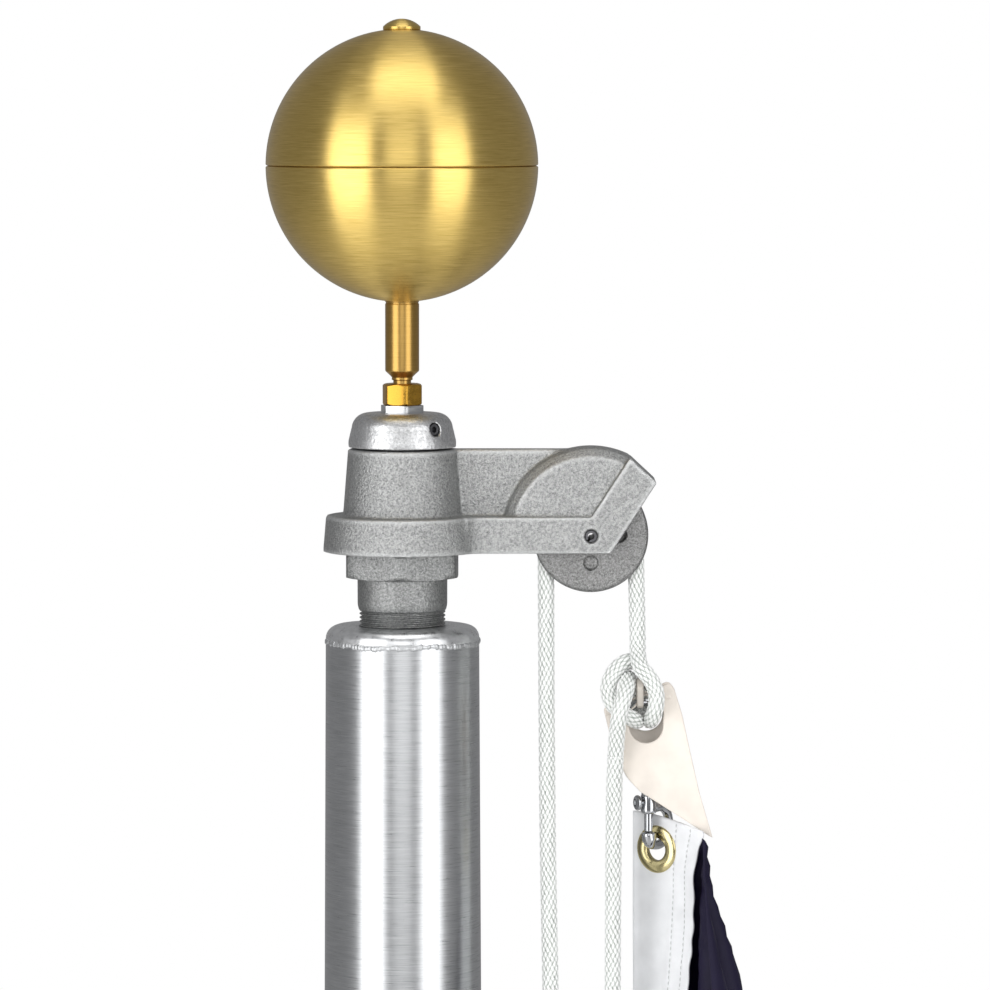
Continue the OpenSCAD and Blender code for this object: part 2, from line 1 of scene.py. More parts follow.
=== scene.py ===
import math
import bmesh
import bpy
import numpy as np
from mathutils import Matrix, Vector


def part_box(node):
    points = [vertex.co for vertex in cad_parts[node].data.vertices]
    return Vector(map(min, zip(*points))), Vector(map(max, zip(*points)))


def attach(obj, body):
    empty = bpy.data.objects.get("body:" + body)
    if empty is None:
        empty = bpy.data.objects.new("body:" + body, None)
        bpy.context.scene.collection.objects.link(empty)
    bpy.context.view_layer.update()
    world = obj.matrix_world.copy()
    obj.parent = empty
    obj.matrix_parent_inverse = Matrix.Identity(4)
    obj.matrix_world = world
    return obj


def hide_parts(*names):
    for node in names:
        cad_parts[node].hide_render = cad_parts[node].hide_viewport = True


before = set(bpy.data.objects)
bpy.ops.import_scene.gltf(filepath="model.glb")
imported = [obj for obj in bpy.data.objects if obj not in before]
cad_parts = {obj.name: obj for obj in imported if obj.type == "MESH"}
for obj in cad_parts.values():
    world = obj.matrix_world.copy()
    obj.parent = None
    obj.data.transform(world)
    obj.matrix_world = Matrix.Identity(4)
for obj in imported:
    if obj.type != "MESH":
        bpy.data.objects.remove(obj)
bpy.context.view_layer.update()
mm = 0.001


def makeMesh(name, verts, faces, relief=None, uv=None):
    # a mesh object from its points and its faces, which all have the same number of corners, smooth shaded;
    # relief is one number a point, and uv one pair a corner
    mesh = bpy.data.meshes.new(name)
    verts = np.ascontiguousarray(verts, dtype=np.float32)
    faces = np.ascontiguousarray(faces, dtype=np.int32)
    mesh.vertices.add(len(verts))
    mesh.vertices.foreach_set("co", verts.ravel())
    mesh.loops.add(faces.size)
    mesh.loops.foreach_set("vertex_index", faces.ravel())
    mesh.polygons.add(len(faces))
    size = faces.shape[1]
    mesh.polygons.foreach_set("loop_start", np.arange(0, faces.size, size, dtype=np.int32))
    mesh.update(calc_edges=True)
    mesh.polygons.foreach_set("use_smooth", np.ones(len(faces), dtype=bool))
    if relief is not None:
        layer = mesh.attributes.new("relief", "FLOAT", "POINT")
        layer.data.foreach_set("value", relief.astype(np.float32).ravel())
    if uv is not None:
        mesh.uv_layers.new(name="uv").data.foreach_set("uv", uv.astype(np.float32).ravel())
    obj = bpy.data.objects.new(name, mesh)
    bpy.context.scene.collection.objects.link(obj)
    return obj


def gridObject(name, points, wrapU=False, wrapV=False, relief=None, uv=None):
    # a quad between each point [u, v] of a grid and its next ones in u and in v, joined round where it wraps
    nu, nv = points.shape[:2]
    i = np.arange(nu if wrapU else nu - 1)[:, None]
    j = np.arange(nv if wrapV else nv - 1)[None, :]
    i2, j2 = (i + 1) % nu, (j + 1) % nv
    faces = np.stack([i * nv + j, i * nv + j2, i2 * nv + j2, i2 * nv + j], axis=-1).reshape(-1, 4)
    loopUv = None
    if uv is not None:
        a, b = np.broadcast_arrays(i, j)
        loopUv = np.stack([uv[a, b], uv[a, b + 1], uv[a + 1, b + 1], uv[a + 1, b]], axis=2).reshape(-1, 2)
    return makeMesh(name, points.reshape(-1, 3), faces, relief, loopUv)


def heal(obj, distance=2e-6):
    # doubled points merged, open rims closed, and every face turned outwards
    bm = bmesh.new()
    bm.from_mesh(obj.data)
    bmesh.ops.remove_doubles(bm, verts=bm.verts, dist=distance)
    bmesh.ops.dissolve_degenerate(bm, edges=bm.edges, dist=distance)
    holes = [e for e in bm.edges if e.is_boundary]
    if holes:
        bmesh.ops.holes_fill(bm, edges=holes, sides=0)
    bmesh.ops.recalc_face_normals(bm, faces=bm.faces)
    bm.to_mesh(obj.data)
    bm.free()
    return obj


def roundedLine(points, radius, closed=False, steps=5):
    # each corner c between a and b becomes the curve (1 - t)^2 a + 2t (1 - t) c + t^2 b, where a and b lie
    # on its two sides at most the radius away; a point may carry its own radius
    pts = np.array([p[:2] for p in points], dtype=float)
    radii = [p[2] if len(p) > 2 else radius for p in points]
    n = len(pts)
    out = []
    for k in range(n):
        if not closed and k in (0, n - 1):
            out.append(pts[k:k + 1])
            continue
        before, here, after = pts[k - 1], pts[k], pts[(k + 1) % n]
        a, b = before - here, after - here
        la, lb = np.linalg.norm(a), np.linalg.norm(b)
        reach = min(radii[k], 0.49 * la, 0.49 * lb)
        t = np.linspace(0, 1, steps + 1)[:, None]
        start, end = here + a / la * reach, here + b / lb * reach
        out.append((1 - t) ** 2 * start + 2 * t * (1 - t) * here + t ** 2 * end)
    return np.concatenate(out)


def turned(name, profile, centre, axis="Z", steps=128, closed=False, shape=None):
    # a profile of (radius, height) pairs carried round an axis: x = r cos angle, y = r sin angle, and height
    # along the axis; shape(angle, radius, height) may change both
    profile = np.asarray(profile, dtype=float)
    angle = np.linspace(0, 2 * np.pi, steps, endpoint=False)
    radius = np.repeat(profile[:, 0:1], steps, axis=1)
    height = np.repeat(profile[:, 1:2], steps, axis=1)
    if shape:
        radius, height = shape(angle[None, :], radius, height)
    x, y = radius * np.cos(angle), radius * np.sin(angle)
    cols = {"Z": (x, y, height), "Y": (x, height, y), "X": (height, x, y)}[axis]
    points = np.stack(cols, axis=-1) + np.asarray(centre)
    return heal(gridObject(name, points, wrapU=closed, wrapV=True))


def splinePath(points, steps):
    # Catmull-Rom curve: on each span a cubic that passes through its two points with slopes set by their
    # neighbours, the ends mirrored
    p = np.asarray(points, dtype=float)
    p = np.vstack([2 * p[0] - p[1], p, 2 * p[-1] - p[-2]])
    t = np.linspace(0, 1, steps, endpoint=False)[None, :, None]
    a, b, c, d = (p[k:len(p) - 3 + k, None, :] for k in range(4))
    line = 0.5 * (2 * b + (c - a) * t + (2 * a - 5 * b + 4 * c - d) * t ** 2 + (3 * b - a - 3 * c + d) * t ** 3)
    return np.vstack([line.reshape(-1, 3), p[-2]])


def evenPath(path, gap):
    # the same line with its points an even distance apart, and the distance run at each
    run = np.concatenate([[0], np.cumsum(np.linalg.norm(np.diff(path, axis=0), axis=1))])
    count = max(int(round(run[-1] / gap)), 2)
    at = np.linspace(0, run[-1], count + 1)
    return np.stack([np.interp(at, run, path[:, k]) for k in range(3)], axis=1), at


def carriedSides(path):
    # side vectors along a path: each is the last one less its part along the new tangent, made one long
    tangent = np.gradient(path, axis=0)
    tangent /= np.linalg.norm(tangent, axis=1)[:, None]
    side = np.cross(tangent[0], [0, 1, 0] if abs(tangent[0][1]) < 0.9 else [1, 0, 0])
    sides = []
    for t in tangent:
        side = side - side.dot(t) * t
        side = side / np.linalg.norm(side)
        sides.append(side)
    sides = np.array(sides)
    return tangent, sides, np.cross(tangent, sides)



def startMaterial(name):
    # an empty node tree with one shader joined to its output
    material = bpy.data.materials.new(name)
    material.use_nodes = True
    tree = material.node_tree
    return material, tree, tree.nodes["Principled BSDF"]


def addNode(tree, kind, values=None, **settings):
    # one node: an input that is given a socket is joined to it, any other is set to the value
    made = tree.nodes.new(kind)
    for key, value in settings.items():
        setattr(made, key, value)
    for key, value in (values or {}).items():
        socket = made.inputs[key]
        if hasattr(value, "is_linked"):
            tree.links.new(value, socket)
        else:
            socket.default_value = value
    return made


def objectCoords(tree, scale=(1, 1, 1)):
    # the piece's own coordinates in metres, each multiplied by its scale
    coords = addNode(tree, "ShaderNodeTexCoord")
    values = {"Vector": coords.outputs["Object"], "Scale": scale}
    return addNode(tree, "ShaderNodeMapping", values).outputs["Vector"]


def noise(tree, vector, scale, detail=3.0, rough=0.55):
    # noise from 0 to 1 with the given number of waves a unit
    values = {"Vector": vector, "Scale": scale, "Detail": detail, "Roughness": rough}
    return addNode(tree, "ShaderNodeTexNoise", values).outputs["Fac"]


def ramp(tree, value, stops):
    # a colour looked up by value between the stops, in straight lines
    made = addNode(tree, "ShaderNodeValToRGB", {"Fac": value})
    band = made.color_ramp.elements
    while len(band) < len(stops):
        band.new(0.5)
    for stop, (place, colour) in zip(band, stops):
        stop.position = place
        stop.color = (*colour, 1) if len(colour) == 3 else colour
    return made.outputs["Color"]


def grey(value):
    # one value for red, green and blue
    return (value, value, value)


def mixColour(tree, share, first, second, blend="MIX"):
    # first + share * (second - first), or the same with the two multiplied
    made = addNode(tree, "ShaderNodeMix", data_type="RGBA", blend_type=blend)
    for index, value in ((0, share), (6, first), (7, second)):
        if hasattr(value, "is_linked"):
            tree.links.new(value, made.inputs[index])
        else:
            made.inputs[index].default_value = (*value, 1) if isinstance(value, tuple) else value
    return made.outputs[2]


def bump(tree, height, strength, depth, normal=None):
    # the normal tilted by the slope of height times depth
    values = {"Height": height, "Strength": strength, "Distance": depth}
    if normal is not None:
        values["Normal"] = normal
    return addNode(tree, "ShaderNodeBump", values).outputs["Normal"]


def castMetal(name, dark, light, grain, depth, roughLow, roughHigh, edgeWearAndHighlight=False):
    # sand-cast metal: fine grain in height, colour and roughness, with convex edges made brighter, partly
    # polish wear and partly a painted highlight
    material, tree, shader = startMaterial(name)
    at = objectCoords(tree)
    coarse = noise(tree, at, grain, 4.0, 0.6)
    fine = noise(tree, at, grain * 2.7, 2.0, 0.6)
    patches = noise(tree, at, 28, 3.0, 0.5)
    both = addNode(tree, "ShaderNodeMath", {0: coarse, 1: fine}, operation="ADD").outputs[0]
    tone = ramp(tree, addNode(tree, "ShaderNodeMath", {0: both, 1: 0.5}, operation="MULTIPLY").outputs[0],
                [(0.36, dark), (0.62, light)])
    tone = mixColour(tree, 0.3, tone, ramp(tree, patches, [(0.3, grey(0.8)), (0.7, grey(1.0))]), "MULTIPLY")
    if edgeWearAndHighlight:
        # painted highlight and polish wear: a pale grey is mixed in where the relief mask marks convex edges
        wearAndHighlight = addNode(tree, "ShaderNodeAttribute", attribute_name="relief").outputs["Fac"]
        wearAndHighlight = addNode(tree, "ShaderNodeMath", {0: wearAndHighlight, 1: 0.6}, operation="MULTIPLY").outputs[0]
        tone = mixColour(tree, wearAndHighlight, tone, (0.74, 0.75, 0.75))
    tree.links.new(tone, shader.inputs["Base Color"])
    rough = ramp(tree, coarse, [(0.3, grey(roughHigh)), (0.7, grey(roughLow))])
    tree.links.new(rough, shader.inputs["Roughness"])
    tree.links.new(bump(tree, fine, 0.5, depth * 0.5, bump(tree, coarse, 0.8, depth)), shader.inputs["Normal"])
    shader.inputs["Metallic"].default_value = 1.0
    return material


def spunMetal(name, dark, light, roughLow, roughHigh, lines, anisotropy, depth=0.00002, axis="Z"):
    # metal brushed round its axis: noise stretched round it, and a reflection drawn out along it
    material, tree, shader = startMaterial(name)
    stretch = {"Z": (60, 60, lines), "Y": (60, lines, 60)}[axis]
    scratch = noise(tree, objectCoords(tree, stretch), 1.0, 4.0, 0.65)
    soft = noise(tree, objectCoords(tree), 22, 3.0, 0.5)
    tone = ramp(tree, scratch, [(0.3, dark), (0.7, light)])
    tone = mixColour(tree, 0.25, tone, ramp(tree, soft, [(0.3, grey(0.8)), (0.7, grey(1.0))]), "MULTIPLY")
    tree.links.new(tone, shader.inputs["Base Color"])
    rough = ramp(tree, scratch, [(0.3, grey(roughLow)), (0.7, grey(roughHigh))])
    tree.links.new(rough, shader.inputs["Roughness"])
    tree.links.new(bump(tree, scratch, 0.35, depth), shader.inputs["Normal"])
    tangent = addNode(tree, "ShaderNodeTangent", direction_type="RADIAL", axis=axis)
    tree.links.new(tangent.outputs["Tangent"], shader.inputs["Tangent"])
    shader.inputs["Anisotropic Rotation"].default_value = 0.25
    shader.inputs["Anisotropic"].default_value = anisotropy
    shader.inputs["Metallic"].default_value = 1.0
    return material


def brightMetal(name, colour, rough, speckle=0.05):
    # polished metal with faint smears
    material, tree, shader = startMaterial(name)
    smear = noise(tree, objectCoords(tree), 260, 4.0, 0.6)
    tone = ramp(tree, smear, [(0.35, tuple(c * 0.86 for c in colour)), (0.6, colour)])
    tree.links.new(tone, shader.inputs["Base Color"])
    gloss = ramp(tree, smear, [(0.3, grey(rough)), (0.75, grey(rough + speckle))])
    tree.links.new(gloss, shader.inputs["Roughness"])
    tree.links.new(bump(tree, smear, 0.15, 0.00004), shader.inputs["Normal"])
    shader.inputs["Metallic"].default_value = 1.0
    return material


goldSpun = spunMetal("goldSpun", (0.58, 0.40, 0.10), (0.84, 0.62, 0.215), 0.31, 0.39, 3400, 0.85, 0.000014)
goldRod = spunMetal("goldRod", (0.42, 0.255, 0.07), (0.52, 0.33, 0.10), 0.30, 0.38, 4200, 0.5, 0.000006)
brassNut = brightMetal("brassNut", (0.56, 0.31, 0.045), 0.20, 0.16)
# the truck's convex edges carry a painted highlight together with polish wear
castTruck = castMetal("castTruck", (0.20, 0.205, 0.205), (0.56, 0.565, 0.56), 760, 0.00085, 0.33, 0.52,
                      edgeWearAndHighlight=True)
castCap = castMetal("castCap", (0.42, 0.425, 0.43), (0.76, 0.765, 0.77), 560, 0.00034, 0.27, 0.44)
castSheave = castMetal("castSheave", (0.13, 0.13, 0.13), (0.40, 0.40, 0.395), 800, 0.00070, 0.33, 0.50)
castSpindle = castMetal("castSpindle", (0.15, 0.155, 0.155), (0.45, 0.455, 0.45), 800, 0.00060, 0.33, 0.50)
shaftSatin = spunMetal("shaftSatin", (0.44, 0.45, 0.46), (0.64, 0.65, 0.66), 0.26, 0.36, 2600, 0.45, 0.000012)
polished = brightMetal("polished", (0.80, 0.81, 0.82), 0.24, 0.20)
darkSteel = brightMetal("darkSteel", (0.16, 0.16, 0.17), 0.28, 0.15)
chrome = brightMetal("chrome", (0.50, 0.51, 0.53), 0.07, 0.06)
grommetBrass = brightMetal("grommetBrass", (0.66, 0.57, 0.30), 0.14, 0.10)

weldMetal = brightMetal("weldMetal", (0.62, 0.63, 0.64), 0.34, 0.30)
jamMetal = spunMetal("jamMetal", (0.42, 0.43, 0.44), (0.74, 0.75, 0.76), 0.25, 0.4, 900, 0.0, 0.00003)

def ropeMaterial(name):
    # braided polyester: painted shade darkens the crevices between the strands, and fine yarns run in the
    # strands
    material, tree, shader = startMaterial(name)
    high = addNode(tree, "ShaderNodeAttribute", attribute_name="relief").outputs["Fac"]
    # painted shade: low parts between strands are coloured dark grey-green, strand tops near white
    tone = ramp(tree, high, [(0.12, (0.26, 0.29, 0.26)), (0.5, (0.55, 0.58, 0.55)), (0.85, (0.92, 0.93, 0.92))])
    tree.links.new(tone, shader.inputs["Base Color"])
    yarn = noise(tree, objectCoords(tree, (1, 1, 1)), 1700, 3.0, 0.6)
    tree.links.new(bump(tree, yarn, 0.35, 0.0002), shader.inputs["Normal"])
    shader.inputs["Roughness"].default_value = 0.62
    shader.inputs["Sheen Weight"].default_value = 0.25
    return material


def clothMaterial(name, colour, weave, depth, sheen, rough, coords="UV", level=0.5):
    # plain weave: two families of fine threads across the piece's own map, uneven by a soft noise
    material, tree, shader = startMaterial(name)
    source = addNode(tree, "ShaderNodeTexCoord").outputs[coords]
    threads = []
    for turn in (0, math.pi / 2):
        spin = (0, turn, 0) if coords == "Object" else (0, 0, turn)
        values = {"Vector": source, "Rotation": spin, "Scale": (weave,) * 3}
        at = addNode(tree, "ShaderNodeMapping", values).outputs["Vector"]
        values = {"Vector": at, "Scale": 1.0, "Distortion": 0.6, "Detail": 1.0}
        threads.append(addNode(tree, "ShaderNodeTexWave", values).outputs["Fac"])
    both = addNode(tree, "ShaderNodeMath", {0: threads[0], 1: threads[1]}, operation="MULTIPLY").outputs[0]
    soft = noise(tree, objectCoords(tree), 60, 3.0, 0.5)
    tone = ramp(tree, soft, [(0.3, tuple(c * 0.86 for c in colour)), (0.7, colour)])
    tone = mixColour(tree, 0.25, tone, ramp(tree, both, [(0.0, grey(0.72)), (0.6, grey(1.0))]), "MULTIPLY")
    tree.links.new(tone, shader.inputs["Base Color"])
    tree.links.new(bump(tree, both, 0.5, depth), shader.inputs["Normal"])
    shader.inputs["Roughness"].default_value = rough
    shader.inputs["Sheen Weight"].default_value = sheen
    shader.inputs["Specular IOR Level"].default_value = level
    return material


ropeWhite = ropeMaterial("ropeWhite")
canvasWhite = clothMaterial("canvasWhite", (0.90, 0.91, 0.93), 700, 0.00012, 0.1, 0.75)
threadWhite = clothMaterial("threadWhite", (0.62, 0.63, 0.63), 900, 0.00003, 0.1, 0.6, "Object")
coverBeige = clothMaterial("coverBeige", (0.90, 0.83, 0.75), 500, 0.00002, 0.15, 0.6, "Object")
clothNavy = clothMaterial("clothNavy", (0.010, 0.007, 0.030), 1400, 0.00006, 0.0, 0.55, level=0.22)

view = {"place": (0.052, -3.14, 1.600), "aim": (0.052, 0.0, 1.3734), "lens": 204.0}
lights = {
    "leftBox": {"place": (-1.75, -1.75, 1.55), "aim": (0.05, 0, 1.45), "size": (1.7, 3.0), "power": 44},
    "rightBox": {"place": (1.75, -1.85, 1.55), "aim": (0.05, 0, 1.45), "size": (1.5, 3.0), "power": 34},
    "front": {"place": (0.05, -4.2, 2.2), "aim": (0.05, 0, 1.4), "size": (2.0, 2.4), "power": 26},
    "top": {"place": (0.1, -0.6, 3.7), "aim": (0.05, 0, 1.4), "size": (1.8, 1.4), "power": 22},
}


def aimed(obj, place, target):
    # an object at its place, its own -Z turned towards the target
    obj.location = place
    obj.rotation_euler = (Vector(target) - Vector(place)).to_track_quat("-Z", "Y").to_euler()
    bpy.context.scene.collection.objects.link(obj)


camera = bpy.data.objects.new("camera", bpy.data.cameras.new("camera"))
camera.data.lens = view["lens"]
aimed(camera, view["place"], view["aim"])
bpy.context.scene.camera = camera
for name, light in lights.items():
    lamp = bpy.data.lights.new(name, "AREA")
    lamp.shape = "RECTANGLE"
    lamp.size, lamp.size_y = light["size"]
    lamp.energy = light["power"]
    aimed(bpy.data.objects.new(name, lamp), light["place"], light["aim"])

world = bpy.data.worlds.new("studio")
world.use_nodes = True
tree = world.node_tree
path = addNode(tree, "ShaderNodeLightPath")
shade = mixColour(tree, path.outputs["Is Camera Ray"], (0.28, 0.28, 0.285), (1.0, 1.0, 1.0))
tree.links.new(shade, tree.nodes["Background"].inputs["Color"])
bpy.context.scene.world = world
bpy.context.scene.view_settings.view_transform = "Standard"

floorMaterial, tree, shader = startMaterial("paleFloor")
shader.inputs["Base Color"].default_value = (0.86, 0.86, 0.85, 1)
shader.inputs["Roughness"].default_value = 0.7
floor = gridObject("floor", np.array([[[-4, -4, 0], [-4, 4, 0]], [[4, -4, 0], [4, 4, 0]]], dtype=float))
floor.data.flip_normals()
floor.data.materials.append(floorMaterial)


def give(obj, material, body, slot, *nodes):
    # material, body, slot and the CAD nodes that the piece stands for; slot is not used
    obj.data.materials.clear()
    obj.data.materials.append(material)
    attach(obj, body)
    if nodes:
        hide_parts(*nodes)
    return obj


def paint(node, material):
    # a CAD solid used as it is, with a material
    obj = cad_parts[node]
    obj.data.materials.clear()
    obj.data.materials.append(material)


low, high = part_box("shaft_tube")
plugLow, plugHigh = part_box("shaft_plug")
topZ = plugHigh[2]
tube = {"lowR": (high[0] - low[0]) / 2, "topZ": high[2], "wall": 4.8 * mm, "socket": 150 * mm}
tube["topR"] = (plugHigh[0] - plugLow[0]) / 2
socketR = tube["lowR"] - tube["wall"]
give(turned("shaftTube", roundedLine([
    (tube["lowR"], 0), (tube["topR"], tube["topZ"], 0.2 * mm), (tube["topR"] - tube["wall"], tube["topZ"]),
    (socketR - 0.2 * mm, tube["socket"]), (socketR, tube["socket"]), (socketR, 0)], 0.5 * mm, closed=True),
    (0, 0, 0), steps=160, closed=True), shaftSatin, "shaft", "brushed_aluminium", "shaft_tube")

plug = {"round": 7 * mm, "seat": 9 * mm, "skirt": 34 * mm, "bore": 24.2 * mm}


def plugShape(angle, radius, height):
    # the rolled shoulder is hand-dressed, so it wanders a little from a true round
    near = np.clip((height - (topZ - 8 * mm)) / (6 * mm), 0, 1) * (radius > 26 * mm)
    wave = np.sin(3 * angle + 0.7) + 0.6 * np.sin(7 * angle + 2.1) + 0.4 * np.sin(17 * angle)
    return radius + near * 0.10 * mm * wave, height + near * 0.08 * mm * np.sin(5 * angle + 1)


arc = [(tube["topR"] - plug["round"] * (1 - math.cos(t)), topZ - plug["round"] * (1 - math.sin(t)))
       for t in np.linspace(0, math.pi / 2, 14)]
give(turned("shaftPlug", [(tube["topR"], topZ - plug["seat"])] + arc + [
    (34 * mm, topZ), (30 * mm, topZ), (plug["bore"] + 0.4 * mm, topZ), (plug["bore"], topZ - 0.4 * mm),
    (plug["bore"], topZ - plug["skirt"]), (tube["topR"] - 5.3 * mm, topZ - plug["skirt"]),
    (tube["topR"] - 5.3 * mm, topZ - plug["seat"])], (0, 0, 0), steps=160, closed=True, shape=plugShape),
    polished, "shaft", "polished_aluminium", "shaft_plug")

# weld: a flattened ring, each ripple a short swelling, its line wandering up and down
weld = {"ripples": 118, "half": 1.5 * mm, "proud": 0.62 * mm}
angle = np.linspace(0, 2 * np.pi, 1400, endpoint=False)[:, None]
side = np.linspace(0, 2 * np.pi, 14, endpoint=False)[None, :]
swell = 0.78 + 0.22 * np.abs(np.sin(weld["ripples"] / 2 * angle + 0.7 * np.sin(9 * angle)))
swell = swell * (1 + 0.16 * np.sin(23 * angle + 1) + 0.12 * np.sin(61 * angle))
wander = 0.45 * np.sin(4 * angle) + 0.3 * np.sin(11 * angle + 2) + 0.2 * np.sin(37 * angle)
line = topZ - plug["seat"] + mm * wander
radius = tube["topR"] - 0.2 * mm + (weld["proud"] + 0.2 * mm) * swell * np.cos(side)
height = line + weld["half"] * swell * np.sin(side)
ring = np.stack([radius * np.cos(angle), radius * np.sin(angle), height], axis=-1)
give(heal(gridObject("weldBead", ring, True, True)), weldMetal, "shaft", "polished_aluminium", "weld_bead")
print("shaft done")

spindle = {"pitch": 2.2 * mm, "threadR": 24.15 * mm, "rootR": 22.85 * mm, "neckR": 25.2 * mm,
           "threadTop": topZ + 8 * mm, "hexLow": topZ + 27.4 * mm, "hexH": 13.9 * mm, "flat": 61.6 * mm,
           "turn": math.radians(-92), "journalR": 17 * mm, "studR": 10 * mm, "boreR": 6.4 * mm}
capLow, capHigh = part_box("bearing_cap")


def hexagon(angle, flat, turn, soft=26.0):
    # distance to a hexagon's side, eased near its corners
    part = np.mod(angle - turn, np.pi / 3) - np.pi / 6
    side = flat / 2 / np.cos(part)
    corner = flat / 2 / math.cos(math.pi / 6) * 0.992
    return (side ** -soft + corner ** -soft) ** (-1 / soft) * 1.012


def spindleShape(angle, radius, height):
    # the thread is a radius that falls by its depth away from each turn; above it the flange is a hexagon
    s = spindle
    outer = radius > 20 * mm
    phase = np.mod((height - angle * s["pitch"] / (2 * np.pi)) / s["pitch"], 1)
    crest = np.clip(1.35 * (1 - np.abs(2 * phase - 1)) - 0.12, 0, 1)
    thread = s["rootR"] + (s["threadR"] - s["rootR"]) * crest
    radius = np.where(outer & (height < s["threadTop"] + 0.5 * mm), thread, radius)
    inHex = outer & (height > s["hexLow"] - 0.01 * mm)
    flats = hexagon(angle, s["flat"], s["turn"])
    return np.where(inHex, np.minimum(flats, radius), radius), height


hexLow, hexHigh = spindle["hexLow"], spindle["hexLow"] + spindle["hexH"]
cornerR = spindle["flat"] / 2 / math.cos(math.pi / 6) + 1 * mm
startZ = topZ - 30 * mm
rows = [(15 * mm, startZ + 36 * mm), (15 * mm, startZ + 1 * mm), (16 * mm, startZ), (21.5 * mm, startZ)]
rows += [(23 * mm, z) for z in np.arange(startZ + 0.5 * mm, spindle["threadTop"] + 0.4 * mm, 0.27 * mm)]
rows += roundedLine([(24.0 * mm, spindle["threadTop"] + 0.6 * mm), (24.6 * mm, spindle["threadTop"] + 1.4 * mm),
                     (spindle["neckR"], spindle["threadTop"] + 4 * mm),
                     (25.25 * mm, hexLow - 0.8 * mm, 0.6 * mm),
                     (26.4 * mm, hexLow)], 1.5 * mm).tolist()
rows += [(r * mm, hexLow) for r in (28, 29.5)] + roundedLine([
    (30 * mm, hexLow), (cornerR - 4.4 * mm, hexLow), (cornerR, hexLow + 2.6 * mm), (cornerR, hexLow + 6 * mm),
    (cornerR, hexHigh - 1.1 * mm), (cornerR - 3.4 * mm, hexHigh), (29 * mm, hexHigh)],
    1.0 * mm, steps=6).tolist()
rows += roundedLine([(20.5 * mm, hexHigh), (spindle["journalR"], hexHigh),
                     (spindle["journalR"], capLow[2] - 0.1 * mm),
                     (spindle["studR"], capLow[2] - 0.1 * mm), (spindle["studR"], capHigh[2]),
                     (spindle["boreR"], capHigh[2]), (spindle["boreR"], capHigh[2] - 22 * mm)],
                    0.3 * mm, steps=2).tolist()
give(turned("spindle", rows, (0, 0, 0), steps=288, shape=spindleShape), castSpindle, "shaft",
     "spindle_aluminium", "spindle")
print("spindle done")


def nutShape(flat, turn, lowR, soft=26.0):
    # the radius is cut at the hexagon, so its corners meet the chamfer in curves
    def shape(angle, radius, height):
        return np.where(radius > lowR, np.minimum(hexagon(angle, flat, turn, soft), radius), radius), height
    return shape


jamLow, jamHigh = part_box("jam_nut")
nutLow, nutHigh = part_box("rod_nut")
nuts = {"jamFlat": 22.2 * mm, "jamTurn": math.radians(-78), "rodFlat": 20.6 * mm,
        "rodTurn": math.radians(-76.4), "rodSoft": 17.0}
jamR, nutR = nuts["jamFlat"] / 2 / math.cos(math.pi / 6), nuts["rodFlat"] / 2 / math.cos(math.pi / 6)
jam = roundedLine([(6.4 * mm, jamLow[2]), (jamR - 0.4 * mm, jamLow[2]), (jamR, jamLow[2] + 0.4 * mm),
                   (jamR, jamHigh[2] - 0.4 * mm), (jamR - 0.4 * mm, jamHigh[2]), (6.4 * mm, jamHigh[2])],
                  0.3 * mm, closed=True, steps=3)
give(turned("jamNut", jam, (0, 0, 0), steps=180, closed=True,
            shape=nutShape(nuts["jamFlat"], nuts["jamTurn"], 8 * mm)),
     jamMetal, "shaft", "polished_aluminium", "jam_nut")
nut = roundedLine([(6.4 * mm, nutLow[2]), (nutR - 2.0 * mm, nutLow[2]),
                   (nutR + 0.3 * mm, nutLow[2] + 1.5 * mm), (nutR + 0.3 * mm, nutLow[2] + 6 * mm),
                   (nutR + 0.3 * mm, nutHigh[2] - 1.7 * mm), (nutR - 2.2 * mm, nutHigh[2]),
                   (5.05 * mm, nutHigh[2])], 1.1 * mm, closed=True, steps=7)
give(turned("rodNut", nut, (0, 0, 0), steps=240, closed=True,
            shape=nutShape(nuts["rodFlat"], nuts["rodTurn"], 7 * mm, nuts["rodSoft"])),
     brassNut, "shaft", "brass", "rod_nut")

topLow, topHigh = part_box("ball_upper_half")
ballR = (topHigh[0] - topLow[0]) / 2
ballZ = topHigh[2] - ballR
rodZ = nutHigh[2] + 7.3 * mm
rodR = 9.525 * mm
ball = {"wall": 1.6 * mm, "seam": 0.42 * mm, "hole": 5.1 * mm, "buttonRise": 4.4 * mm}
joinZ = ballZ - math.sqrt(ballR ** 2 - rodR ** 2)
rod = [(6.3 * mm, jamLow[2] - 19 * mm), (6.35 * mm, nutHigh[2] - 3 * mm), (5.0 * mm, nutHigh[2] - 2.6 * mm)]
rod += roundedLine([(5.0 * mm, nutHigh[2] + 1.3 * mm), (5.0 * mm, nutHigh[2] + 1.8 * mm),
                    (5.85 * mm, nutHigh[2] + 1.9 * mm), (5.85 * mm, nutHigh[2] + 3.0 * mm),
                    (5.75 * mm, nutHigh[2] + 3.3 * mm), (6.9 * mm, nutHigh[2] + 4.6 * mm, 1.2 * mm),
                    (rodR - 0.2 * mm, rodZ - 0.5 * mm), (rodR, rodZ), (rodR, joinZ - 1.6 * mm),
                    (rodR - 0.35 * mm, joinZ - 1.4 * mm), (rodR - 0.35 * mm, joinZ - 0.6 * mm),
                    (rodR, joinZ - 0.4 * mm), (rodR, joinZ + 0.1 * mm)], 0.25 * mm, steps=4).tolist()
rod += [(rodR - 0.6 * mm, joinZ - 0.1 * mm), (5.0 * mm, ballZ - ballR + 0.2 * mm),
        (5.0 * mm, topHigh[2] + 1.0 * mm)]
rod = [(0, rod[0][1])] + [tuple(p) for p in rod] + [(0, topHigh[2] + 1.0 * mm)]
give(turned("finialRod", rod, (0, 0, 0), steps=128), goldRod, "shaft", "gold_anodised", "finial_rod")


